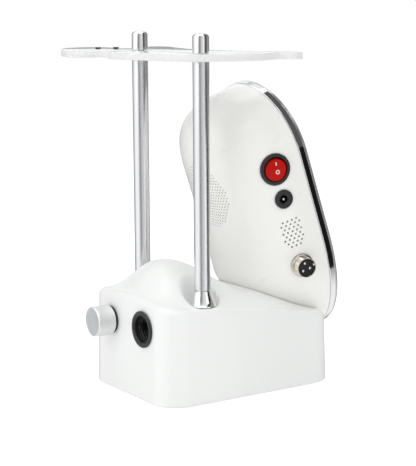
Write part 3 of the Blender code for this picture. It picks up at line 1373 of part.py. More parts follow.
def make_loom():
    """The wiring between the two boards, through the neck tube and held at both ends."""
    console_seat, base_seat = neck_seats()
    route = [
        Vector((0.0, NECK_Y + 0.023, DRIVER_BOARD_Z + 0.0040)),
        Vector((0.0, NECK_Y + 0.019, DRIVER_BOARD_Z + 0.0115)),
        Vector((0.0, NECK_Y + 0.008, base_seat - 0.0125)),
        Vector((0.0, NECK_Y, base_seat - 0.0045)),
        Vector((0.0, NECK_Y, base_seat + 0.0125)),
        Vector((0.0, NECK_Y, console_seat + 0.0035)),
        Vector((0.0, NECK_Y - 0.001, console_seat + 0.0135)),
        Vector((0.0, NECK_Y - 0.002, console_seat + 0.0235)),
        Vector((0.0, NECK_Y - 0.004, console_seat + 0.0345)),
        Vector((0.0, NECK_Y - 0.006, console_seat + 0.0445)),
    ]
    points = []
    for index in range(len(route) - 1):
        before = route[max(0, index - 1)]
        after = route[min(len(route) - 1, index + 2)]
        for step in range(2):
            points.append(between(before, route[index], route[index + 1], after, step / 2))
    points.append(route[-1])
    data = bpy.data.curves.new("wiring_loom", "CURVE")
    data.dimensions = "3D"
    data.bevel_depth = LOOM_RADIUS
    data.bevel_resolution = 2
    data.use_fill_caps = True
    spline = data.splines.new("POLY")
    spline.points.add(len(points) - 1)
    for place, point in zip(spline.points, points):
        place.co = (*point, 1.0)
    data.materials.append(FINISHES["loom_sleeve"])
    loom = bpy.data.objects.new("wiring_loom", data)
    bpy.context.scene.collection.objects.link(loom)


def main():
    for obj in list(bpy.data.objects):
        bpy.data.objects.remove(obj, do_unlink=True)
    FINISHES.update(make_finishes())
    make_base_shell()
    make_base_plate()
    make_feet()
    make_plate_screws()
    make_posts()
    make_tray()
    make_knob()
    make_handpiece_socket()
    shell = make_console_shell()
    make_rocker_switch(shell)
    make_dc_jack(shell)
    make_aviation_socket(shell)
    make_rim()
    make_front_panel()
    make_display()
    make_control_board()
    make_fan()
    make_speaker()
    make_neck()
    make_driver_board()
    make_loom()


main()
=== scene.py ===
"""Looks of a table-top ultrasound therapy device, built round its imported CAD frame.

Metres, +Z up. The screen faces -Y, the output knob and the handpiece socket are on the +Y face,
and the switch and sockets of the console are on its -X side.
"""

import logging
import math
from collections.abc import Callable, Iterable, Sequence
from dataclasses import dataclass, field
from enum import Enum

import bmesh
import bpy
from mathutils import Matrix, Vector


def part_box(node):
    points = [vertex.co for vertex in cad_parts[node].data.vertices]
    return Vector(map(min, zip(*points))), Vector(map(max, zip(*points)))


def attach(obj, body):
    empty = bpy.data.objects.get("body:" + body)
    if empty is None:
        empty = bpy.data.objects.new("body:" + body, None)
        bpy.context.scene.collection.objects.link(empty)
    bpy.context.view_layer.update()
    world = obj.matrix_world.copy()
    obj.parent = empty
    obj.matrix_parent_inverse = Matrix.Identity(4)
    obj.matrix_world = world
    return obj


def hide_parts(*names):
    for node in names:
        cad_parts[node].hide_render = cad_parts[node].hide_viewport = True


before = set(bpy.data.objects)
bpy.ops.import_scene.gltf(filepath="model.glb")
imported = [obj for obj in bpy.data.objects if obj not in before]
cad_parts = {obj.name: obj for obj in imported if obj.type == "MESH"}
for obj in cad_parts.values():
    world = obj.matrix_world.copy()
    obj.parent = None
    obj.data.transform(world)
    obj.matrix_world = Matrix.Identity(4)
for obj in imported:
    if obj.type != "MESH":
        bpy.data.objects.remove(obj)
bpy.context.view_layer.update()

LOG = logging.getLogger("ultrasound_unit")
IDENTITY = Matrix.Identity(4)
UP = Vector((0.0, 0.0, 1.0))
GAP = 0.0003  # clearance between pieces that touch
RUNNING_GAP = 0.0008  # clearance round a piece that turns or rocks
MERGE = 1e-7  # points nearer than this are one
WHITE = (1.0, 1.0, 1.0)
BLACK = (0.0, 0.0, 0.0)
EVEN = (1.0, 1.0, 1.0)  # a pattern that isn't stretched
GRAIN = 0.00002  # depth of a fine surface grain

Colour = tuple[float, float, float]
Profile = Sequence[tuple[float, ...]]
Column = tuple[float, float, float, int]  # radius, underside, top and sides
Mesh = bmesh.types.BMesh
Socket = bpy.types.NodeSocket


class Body(Enum):
    """The bodies of the frame that the pieces ride on."""

    UNIT = "unit"
    KNOB = "knob"
    ROCKER = "rocker"


class Slot(Enum):
    """The record's material slots that the pieces take."""

    SHELL = "white_shell"
    RUBBER = "black_rubber"
    BLACK = "black_plastic"
    ALUMINIUM = "satin_aluminium"
    CHROME = "chrome"
    ZINC = "zinc_steel"
    ACRYLIC = "clear_acrylic"
    RED = "red_rocker"
    GLASS = "black_glass"
    COPPER = "copper_brass"


# ---------------------------------------------------------------- node trees
def add_node(
    tree: bpy.types.NodeTree, kind: str, inputs: dict, **settings: str
) -> bpy.types.Node:
    """Adds a shader node.

    Args:
        tree: The tree that it goes in.
        kind: Its type, without ShaderNode.
        inputs: For each input, its value or the socket that it is joined to.
        settings: The node's own choices.

    Returns:
        The node.
    """
    node = tree.nodes.new("ShaderNode" + kind)
    for name, choice in settings.items():
        setattr(node, name, choice)
    for name, value in inputs.items():
        if isinstance(value, Socket):
            tree.links.new(value, node.inputs[name])
        else:
            node.inputs[name].default_value = value
    return node


class Sheet:
    """A material's node tree, with short ways to add its patterns."""

    def __init__(self, name: str, **values: object) -> None:
        """Starts a material with one Principled shader.

        Args:
            name: The material's name.
            values: The shader's values: Base_Color stands for Base Color.
        """
        self.material = bpy.data.materials.new(name)
        self.material.use_nodes = True
        self.tree = self.material.node_tree
        self.shader = self.tree.nodes["Principled BSDF"]
        for socket, value in values.items():
            value = (*value, 1.0) if isinstance(value, tuple) else value
            self.shader.inputs[socket.replace("_", " ")].default_value = value

    def place(self, stretch: Sequence[float] = EVEN) -> Socket:
        """The object's own coordinates, times a factor along each axis."""
        source = add_node(self.tree, "TexCoord", {}).outputs["Object"]
        return add_node(self.tree, "Mapping", {"Scale": stretch, "Vector": source}).outputs[0]

    def noise(
        self, scale: float, detail: float = 3.0, stretch: Sequence[float] = EVEN
    ) -> Socket:
        """A noise pattern from 0 to 1.

        Args:
            scale: Cells for each metre.
            detail: Octaves.
            stretch: The factor along each axis; a large one makes it finer.

        Returns:
            The pattern's value.
        """
        inputs = {"Scale": scale, "Detail": detail, "Vector": self.place(stretch)}
        return add_node(self.tree, "TexNoise", inputs).outputs["Fac"]

    def waves(self, scale: float, **settings: str) -> Socket:
        """Regular waves from 0 to 1, slightly uneven."""
        inputs = {"Scale": scale, "Distortion": 0.6, "Vector": self.place()}
        return add_node(self.tree, "TexWave", inputs, **settings).outputs["Fac"]

    def colour(self, factor: Socket, low: Colour, high: Colour, middle: float = 0.5) -> None:
        """Blends the colour by a pattern.

        Args:
            factor: The pattern.
            low: The colour at its low end.
            high: The colour at its high end.
            middle: Where the change is centred.
        """
        node = add_node(self.tree, "ValToRGB", {"Fac": factor})
        for stop, reach, colour in zip(node.color_ramp.elements, (-0.2, 0.2), (low, high)):
            stop.position = middle + reach
            stop.color = (*colour, 1.0)
        self.tree.links.new(node.outputs["Color"], self.shader.inputs["Base Color"])

    def roughness(self, factor: Socket, low: float, high: float) -> None:
        """Spreads the roughness by a pattern.

        Args:
            factor: The pattern.
            low: The roughness at its low end.
            high: The roughness at its high end.
        """
        inputs = {"From Min": 0.25, "From Max": 0.75, "To Min": low, "To Max": high}
        node = add_node(self.tree, "MapRange", {**inputs, "Value": factor})
        self.tree.links.new(node.outputs["Result"], self.shader.inputs["Roughness"])

    def bump(self, height: Socket, strength: float, depth: float) -> None:
        """Adds a bump over any bump that is there already.

        Args:
            height: The pattern.
            strength: From 0 to 1.
            depth: The pattern's depth.
        """
        inputs = {"Strength": strength, "Distance": depth, "Height": height}
        target = self.shader.inputs["Normal"]
        if target.is_linked:
            inputs["Normal"] = target.links[0].from_socket
        self.tree.links.new(add_node(self.tree, "Bump", inputs).outputs["Normal"], target)


# ---------------------------------------------------------------- finishes
@dataclass(frozen=True)
class Finish:
    """What every finish has."""

    name: str
    colour: Colour

    def shade(self, share: float) -> Colour:
        """The finish's colour times a share."""
        return tuple(channel * share for channel in self.colour)

    def make(self) -> bpy.types.Material:
        """Makes the material; each kind of finish has its own way."""
        raise NotImplementedError(self.name)


@dataclass(frozen=True)
class MouldedPlastic(Finish):
    """Injection-moulded plastic with a faint flow pattern and a fine surface grain."""

    rough: float
    shift: float = 0.03  # how far the colour drifts, as a share
    grain: float = 0.12  # strength of the surface grain
    grain_scale: float = 2600.0
    coat: float = 0.0
    painted_glow: float = 0.0  # painted glow: emission that lightens the plastic's shaded parts as if light fell there
    gloss: float = 0.5  # strength of its surface reflection

    def make(self) -> bpy.types.Material:
        """Makes the material.

        Returns:
            The material.
        """
        sheet = Sheet(
            self.name,
            Roughness=self.rough,
            Coat_Weight=self.coat,
            Coat_Roughness=0.08,
            # Emission in the plastic's own colour: a painted glow that fills in its shade, not lamp
            # light.
            Emission_Color=self.colour,
            Emission_Strength=self.painted_glow,
            Specular_IOR_Level=self.gloss,
        )
        sheet.colour(sheet.noise(22.0, 2.0), self.shade(1 - self.shift), self.colour)
        spread = self.rough * 0.12
        sheet.roughness(sheet.noise(60.0, 4.0), self.rough - spread, self.rough + spread)
        sheet.bump(sheet.noise(self.grain_scale, 2.0), self.grain, GRAIN)
        return sheet.material


@dataclass(frozen=True)
class PlatedMetal(Finish):
    """Plated or polished metal with hairline wear in its gloss."""

    rough: float
    wear: float = 0.35  # share by which wear changes the roughness

    def make(self) -> bpy.types.Material:
        """Makes the material.

        Returns:
            The material.
        """
        sheet = Sheet(self.name, Metallic=1.0, Roughness=self.rough)
        sheet.colour(sheet.noise(140.0, 3.0), self.shade(0.95), self.colour)
        spread = self.rough * self.wear
        worn = sheet.noise(500.0, 5.0, (1.0, 1.0, 0.08))
        sheet.roughness(worn, self.rough - spread, self.rough + spread)
        return sheet.material


@dataclass(frozen=True)
class AnodisedTube(Finish):
    """Satin anodised aluminium: a fine sparkle over a drawn grain along the tube."""

    rough: float

    def make(self) -> bpy.types.Material:
        """Makes the material.

        Returns:
            The material.
        """
        sheet = Sheet(self.name, Metallic=1.0, Roughness=self.rough)
        speck = sheet.noise(2600.0, 2.0)
        sheet.colour(speck, self.shade(0.86), self.colour)
        drawn = sheet.noise(1500.0, 3.0, (1.0, 1.0, 0.02))
        sheet.roughness(drawn, self.rough - 0.05, self.rough + 0.06)
        sheet.bump(speck, 0.22, 1.5 * GRAIN)
        sheet.bump(drawn, 0.10, GRAIN)
        return sheet.material


@dataclass(frozen=True)
class SpunMetal(Finish):
    """A turned aluminium face, with fine tool rings round its axis."""

    rough: float
    rings: float = 900.0

    def make(self) -> bpy.types.Material:
        """Makes the material.

        Returns:
            The material.
        """
        sheet = Sheet(self.name, Metallic=1.0, Roughness=self.rough, Anisotropic=0.3)
        rings = sheet.waves(self.rings, wave_type="RINGS", rings_direction="Z")
        sheet.colour(sheet.noise(900.0, 4.0), self.shade(0.92), self.colour)
        sheet.roughness(rings, self.rough - 0.06, self.rough + 0.06)
        sheet.bump(rings, 0.25, 1.5 * GRAIN)
        sheet.bump(sheet.noise(3000.0, 2.0), 0.10, GRAIN)
        return sheet.material


@dataclass(frozen=True)
class ClearSheet(Finish):
    """Clear acrylic. A cut edge is the same plastic, slightly frosted by the saw."""

    rough: float
    clear: float  # share of light let through
    gloss: float  # strength of its surface reflection

    def make(self) -> bpy.types.Material:
        """Makes the material.

        Returns:
            The material.
        """
        sheet = Sheet(
            self.name,
            Base_Color=self.colour,
            Roughness=self.rough,
            Transmission_Weight=self.clear,
            Specular_IOR_Level=self.gloss,
            IOR=1.49,
        )
        sheet.roughness(sheet.noise(45.0, 4.0), self.rough * 0.6, self.rough * 1.5 + 0.01)
        sheet.bump(sheet.noise(420.0, 2.0, (1.0, 1.0, 0.2)), 0.05, 1.5 * GRAIN)
        return sheet.material


@dataclass(frozen=True)
class BlackGlass(Finish):
    """Printed glass: gloss over a deep colour, with the odd fingermark in its sheen."""

    def make(self) -> bpy.types.Material:
        """Makes the material.

        Returns:
            The material.
        """
        sheet = Sheet(self.name, Roughness=0.05, IOR=1.52, Coat_Weight=0.5, Coat_Roughness=0.03)
        sheet.colour(sheet.noise(12.0, 2.0), self.shade(0.7), self.colour)
        sheet.roughness(sheet.noise(38.0, 5.0), 0.03, 0.11)
        return sheet.material


@dataclass(frozen=True)
class SolderMask(Finish):
    """A circuit board: tracks and pads under a green mask."""

    track: Colour

    def make(self) -> bpy.types.Material:
        """Makes the material.

        Returns:
            The material.
        """
        sheet = Sheet(self.name)
        inputs = {"Scale": 260.0, "Vector": sheet.place()}
        cells = add_node(sheet.tree, "TexVoronoi", inputs, distance="MANHATTAN")
        sheet.colour(cells.outputs["Distance"], self.track, self.colour, 0.3)
        sheet.roughness(sheet.noise(300.0), 0.35, 0.55)
        sheet.bump(cells.outputs["Distance"], 0.2, 0.00005)
        return sheet.material


@dataclass(frozen=True)
class BraidedSleeve(Finish):
    """A woven cable sleeve."""

    def make(self) -> bpy.types.Material:
        """Makes the material.

        Returns:
            The material.
        """
        sheet = Sheet(self.name)
        weave = sheet.waves(700.0, wave_type="BANDS", bands_direction="DIAGONAL")
        sheet.colour(weave, self.colour, self.shade(2.2))
        sheet.roughness(weave, 0.5, 0.75)
        sheet.bump(weave, 0.5, 0.0002)
        return sheet.material


FINISHES: tuple[Finish, ...] = (
    # base_white and pod_white glow at 0.05: painted glow that lightens their shaded parts.
    MouldedPlastic(
        "base_white", (0.850, 0.862, 0.850), 0.34, 0.012, 0.10, 1900.0, 0.25, 0.05
    ),
    MouldedPlastic("pod_white", (0.885, 0.885, 0.855), 0.30, 0.012, 0.08, 1900.0, 0.30, 0.05),
    MouldedPlastic("plate_grey", (0.50, 0.51, 0.52), 0.55, 0.06, 0.5, 1500.0),
    MouldedPlastic("foot_rubber", (0.022, 0.022, 0.023), 0.85, 0.15, 0.6, 1800.0),
    MouldedPlastic("black_fitting", (0.013, 0.014, 0.016), 0.36, 0.10, 0.35),
    MouldedPlastic("socket_black", (0.012, 0.014, 0.018), 0.42, 0.10, 0.45),
    MouldedPlastic("deep_black", (0.008, 0.008, 0.009), 0.50, 0.20, 0.4),
    MouldedPlastic("rocker_red", (0.52, 0.006, 0.001), 0.30, 0.12, 0.10, 900.0, 0.0, 0.0, 0.12),
    MouldedPlastic("printed_white", (0.86, 0.84, 0.82), 0.45, 0.05, 0.2),
    AnodisedTube("post_satin", (0.80, 0.81, 0.83), 0.27),
    AnodisedTube("knob_side", (0.86, 0.87, 0.87), 0.46),
    SpunMetal("knob_face", (0.72, 0.745, 0.77), 0.36),
    PlatedMetal("bright_chrome", (0.88, 0.885, 0.89), 0.06),
    PlatedMetal("cap_chrome", (0.86, 0.865, 0.87), 0.10),
    PlatedMetal("warm_nickel", (0.74, 0.70, 0.63), 0.22),
    PlatedMetal("contact_silver", (0.86, 0.84, 0.80), 0.18),
    PlatedMetal("zinc", (0.58, 0.585, 0.57), 0.34, 0.5),
    PlatedMetal("backing", (0.50, 0.51, 0.53), 0.42, 0.4),
    PlatedMetal("copper", (0.70, 0.43, 0.20), 0.36, 0.4),
    ClearSheet("tray_clear", (0.955, 0.960, 0.958), 0.06, 0.30, 0.10),
    ClearSheet("tray_edge", (0.90, 0.902, 0.902), 0.35, 0.12, 0.20),
    BlackGlass("screen_glass", (0.010, 0.011, 0.013)),
    BlackGlass("screen_window", (0.020, 0.024, 0.032)),
    SolderMask("board", (0.012, 0.11, 0.045), (0.03, 0.20, 0.09)),
    BraidedSleeve("sleeve", (0.025, 0.025, 0.030)),
)


class Palette:
    """Makes each finish once, the first time that a piece asks for it."""

    def __init__(self, finishes: Iterable[Finish]) -> None:
        """Starts with nothing made."""
        self.finishes = {finish.name: finish for finish in finishes}
        self.made: dict[str, bpy.types.Material] = {}

    def __getitem__(self, name: str) -> bpy.types.Material:
        """The material of a finish.

        Args:
            name: The finish's name.

        Returns:
            The material, shared by all pieces that have this finish.
        """
        if name not in self.made:
            self.made[name] = self.finishes[name].make()
        return self.made[name]


PALETTE = Palette(FINISHES)


# ---------------------------------------------------------------- outlines and profiles
def facing(origin: Vector, outward: Vector, up: Vector) -> Matrix:
    """A frame whose Z points outward and whose Y is as near to up as it can be.

    Args:
        origin: The frame's origin.
        outward: Its Z.
        up: What its Y leans towards.

    Returns:
        The frame as a matrix.
    """
    z = outward.normalized()
    x = up.cross(z).normalized()
    return Matrix.Translation(origin) @ Matrix((x, z.cross(x), z)).transposed().to_4x4()


def raised(height: float) -> Matrix:
    """A move along Z."""
    return Matrix.Translation((0.0, 0.0, height))


def stand(node: str) -> tuple[Matrix, float, float, float]:
    """Where an upright CAD node stands.

    Args:
        node: The node's name.

    Returns:
        A frame on its axis at height 0, its radius, its underside and its top.
    """
    low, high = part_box(node)
    axis = Matrix.Translation(((low.x + high.x) / 2, (low.y + high.y) / 2, 0.0))
    return axis, (high.x - low.x) / 2, low.z, high.z


def eased(points: Profile, steps: int = 4) -> Profile:
    """An open profile with its corners rounded.

    Args:
        points: Radius, height and, where the corner is rounded, how far back the round starts.
        steps: Pieces in each round.

    Returns:
        The profile with the rounds put in.
    """
    made = []
    for index, point in enumerate(points):
        here = Vector(point[:2])
        if len(point) < 3 or index in (0, len(points) - 1):
            made.append((here.x, here.y))
            continue
        before = Vector(points[index - 1][:2]) - here
        after = Vector(points[index + 1][:2]) - here
        start = here + before.normalized() * min(point[2], before.length * 0.48)
        end = here + after.normalized() * min(point[2], after.length * 0.48)
        for step in range(steps + 1):
            t = step / steps
            place = start * (1 - t) ** 2 + here * 2 * t * (1 - t) + end * t * t
            made.append((place.x, place.y))
    return made


def smooth_loop(points: Sequence[Sequence[float]], steps: int) -> list[Vector]:
    """A closed smooth curve through points.

    Args:
        points: The points, in order.
        steps: Pieces between each two.

    Returns:
        The points of the curve.
    """
    curve = []
    count = len(points)
    for index in range(count):
        before, start, end, after = (Vector(points[(index + k - 1) % count]) for k in range(4))
        for step in range(steps):
            t = step / steps
            part = 2 * start + (end - before) * t
            part += (2 * before - 5 * start + 4 * end - after) * t * t
            part += (3 * start - before - 3 * end + after) * t * t * t
            curve.append(part / 2)
    return curve


def grown(loop: Sequence[Vector], amount: float) -> list[Vector]:
    """A closed flat loop moved out or in.

    Args:
        loop: Anticlockwise points.
        amount: How far out; a negative one moves it in.

    Returns:
        The moved points.
    """
    moved = []
    for index, point in enumerate(loop):
        along = (loop[(index + 1) % len(loop)] - loop[index - 1]).normalized()
        moved.append(point + Vector((along.y, -along.x)) * amount)
    return moved


def circle(count: int, radius: float, turn: float = 0.0) -> list[Vector]:
    """Points round the origin, the first of them at the angle turn."""
    angles = [math.tau * step / count + turn for step in range(count)]
    return [Vector((radius * math.cos(angle), radius * math.sin(angle))) for angle in angles]


def rounded_rectangle(
    width: float, depth: float, radius: float, corner_steps: int, side_steps: int
) -> list[Vector]:
    """Points round a rounded rectangle, along its straight sides too.

    Args:
        width: Its size along X.
        depth: Its size along Y.
        radius: Of its corners.
        corner_steps: Pieces in each corner.
        side_steps: Pieces in each straight side.

    Returns:
        The points, anticlockwise.
    """
    arcs = []
    for corner in range(4):
        sign_x = 1 if corner in (0, 3) else -1
        sign_y = 1 if corner in (0, 1) else -1
        centre = Vector((sign_x * (width / 2 - radius), sign_y * (depth / 2 - radius)))
        arc = []
        for step in range(corner_steps + 1):
            angle = (corner + step / corner_steps) * math.pi / 2
            arc.append(centre + radius * Vector((math.cos(angle), math.sin(angle))))
        arcs.append(arc)
    points = []
    for corner, arc in enumerate(arcs):
        onward = arcs[(corner + 1) % 4][0]
        points += arc
        points += [arc[-1].lerp(onward, step / side_steps) for step in range(1, side_steps)]
    return points


def bar(
    width: float, depth: float, radius: float, x: float = 0.0, y: float = 0.0, steps: int = 4
) -> list[Vector]:
    """The outline of a small rounded bar with its middle at x, y."""
    return [p + Vector((x, y)) for p in rounded_rectangle(width, depth, radius, steps, 1)]


# ---------------------------------------------------------------- meshes
def bridge(bm: Mesh, loops: Sequence[list], closed: bool = False) -> None:
    """Quads between each closed loop of vertices and the next one.

    Args:
        bm: The mesh.
        loops: Loops with equal counts.
        closed: True where the last loop meets the first.
    """
    pairs = list(zip(loops, loops[1:]))
    if closed:
        pairs.append((loops[-1], loops[0]))
    for first, second in pairs:
        for step in range(len(first)):
            after = (step + 1) % len(first)
            bm.faces.new((first[step], first[after], second[after], second[step]))


def lathe(
    profile: Profile,
    steps: int = 96,
    centre: Sequence[float] = (0.0, 0.0),
    bm: Mesh | None = None,
    warp: Callable[[float, float, float], tuple[float, float]] | None = None,
) -> Mesh:
    """A body turned round Z.

    Args:
        profile: Radius and height of each point. It closes on the axis where it ends at radius
            0, into a ring where both its ends are off the axis, and else with a flat face.
        steps: Sides.
        centre: Where its axis is.
        bm: A mesh to add it to.
        warp: Gives the radius and height of a point from its radius, height and angle.

    Returns:
        The mesh.
    """
    bm = bm or bmesh.new()
    rings = []
    for point in profile:
        ring = []
        for step in range(1 if point[0] == 0.0 else steps):
            angle = math.tau * step / steps
            radius, height = warp(*point, angle) if warp else point
            x = centre[0] + radius * math.cos(angle)
            y = centre[1] + radius * math.sin(angle)
            ring.append(bm.verts.new((x, y, height)))
        rings.append(ring)
    pairs = list(zip(rings, rings[1:]))
    if len(rings[0]) > 1 and len(rings[-1]) > 1:
        pairs.append((rings[-1], rings[0]))
    elif len(rings[-1]) > 1:
        bm.faces.new(rings[-1])
    for lower, upper in pairs:
        for step in range(steps):
            after = (step + 1) % steps
            four = (
                lower[step % len(lower)],
                lower[after % len(lower)],
                upper[after % len(upper)],
                upper[step % len(upper)],
            )
            bm.faces.new(list(dict.fromkeys(four)))
    return bm


def turned(points: Profile, steps: int = 96, rounds: int = 4) -> Mesh:
    """A body turned from a profile whose corners are rounded in so many pieces."""
    return lathe(eased(points, rounds), steps)


def drum(
    radius: float,
    low: float,
    high: float,
    steps: int = 48,
    centre: Sequence[float] = (0.0, 0.0),
    bm: Mesh | None = None,
) -> Mesh:
    """A plain round body from low to high, added to bm if it is given."""
    return lathe([(0.0, low), (radius, low), (radius, high), (0.0, high)], steps, centre, bm)


def slab(
    outline: Sequence[Vector], low: float, high: float, ease: float = 0.0, bm: Mesh | None = None
) -> Mesh:
    """A flat outline made solid along Z, its two rims eased.

    Args:
        outline: Anticlockwise points.
        low: Its underside.
        high: Its top.
        ease: The size of the bevel on its rims.
        bm: A mesh to add it to.

    Returns:
        The mesh.
    """
    bm = bm or bmesh.new()
    levels = [(0.0, low), (0.0, high)]
    if ease:
        half = ease * 0.35
        levels = [(-ease, low), (-half, low + half), (0.0, low + ease)]
        levels += [(0.0, high - ease), (-half, high - half), (-ease, high)]
    loops = []
    for inset, height in levels:
        points = grown(outline, inset) if inset else outline
        loops.append([bm.verts.new((p.x, p.y, height)) for p in points])
    bridge(bm, loops)
    bm.faces.new(loops[0])
    bm.faces.new(loops[-1])
    return bm


def placed(name: str, bm: Mesh, at: Matrix) -> bpy.types.Object:
    """An object in the scene.

    Args:
        name: Its name.
        bm: Its mesh, which is used up.
        at: Where it is.

    Returns:
        The object.
    """
    bmesh.ops.remove_doubles(bm, verts=bm.verts, dist=MERGE)
    bmesh.ops.recalc_face_normals(bm, faces=bm.faces)
    mesh = bpy.data.meshes.new(name)
    bm.to_mesh(mesh)
    bm.free()
    obj = bpy.data.objects.new(name, mesh)
    obj.matrix_world = at
    bpy.context.scene.collection.objects.link(obj)
    return obj


class Solid:
    """A closed body that other bodies are cut from. It isn't a piece until it is taken."""

    def __init__(self, bm: Mesh, at: Matrix = IDENTITY) -> None:
        """Starts from a closed mesh, which is used up."""
        self.obj = placed("scratch", bm, at)

    def cut(self, bm: Mesh, at: Matrix = IDENTITY) -> None:
        """Takes a closed mesh away.

        Args:
            bm: The mesh, which is used up.
            at: Where it is.
        """
        other = placed("scratch", bm, at)
        modifier = self.obj.modifiers.new("cut", "BOOLEAN")
        modifier.operation = "DIFFERENCE"
        modifier.solver = "MANIFOLD"
        modifier.object = other
        bpy.context.view_layer.update()
        graph = bpy.context.evaluated_depsgraph_get()
        mesh = bpy.data.meshes.new_from_object(self.obj.evaluated_get(graph))
        old = self.obj.data
        self.obj.modifiers.clear()
        self.obj.data = mesh
        bpy.data.meshes.remove(old)
        bpy.data.objects.remove(other, do_unlink=True)

    def take(self) -> Mesh:
        """Ends the work.

        Returns:
            The shaped mesh, in the body's own frame.
        """
        bm = bmesh.new()
        mesh = self.obj.data
        bm.from_mesh(mesh)
        bpy.data.objects.remove(self.obj, do_unlink=True)
        bpy.data.meshes.remove(mesh)
        return bm


class Assembly:
    """What all sub-assemblies share: turning a mesh into a finished piece."""

    def add(
        self,
        name: str,
        bm: Mesh,
        finishes: str | Sequence[str],
        slot: Slot,
        at: Matrix = IDENTITY,
        node: str = "",
        body: Body = Body.UNIT,
        sharp: float = 32.0,
    ) -> None:
        """Makes a piece, dresses it and hangs it on its body.

        Args:
            name: The piece's name.
            bm: Its mesh, which is used up.
            finishes: Its finish, or one for each material index.
            slot: The record's slot that goes with its finish; not used.
            at: Where it is.
            node: The CAD node that it stands for, if there is one.
            body: The body that it rides on.
            sharp: Edges that turn more than this many degrees stay sharp.
        """
        obj = placed(name, bm, at)
        obj.data.shade_smooth()
        obj.data.set_sharp_from_angle(angle=math.radians(sharp))
        for finish in [finishes] if isinstance(finishes, str) else finishes:
            obj.data.materials.append(PALETTE[finish])
        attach(obj, body.value)
        if node:
            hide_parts(node)
        LOG.info("%s: %d faces on %s", name, len(obj.data.polygons), body.value)


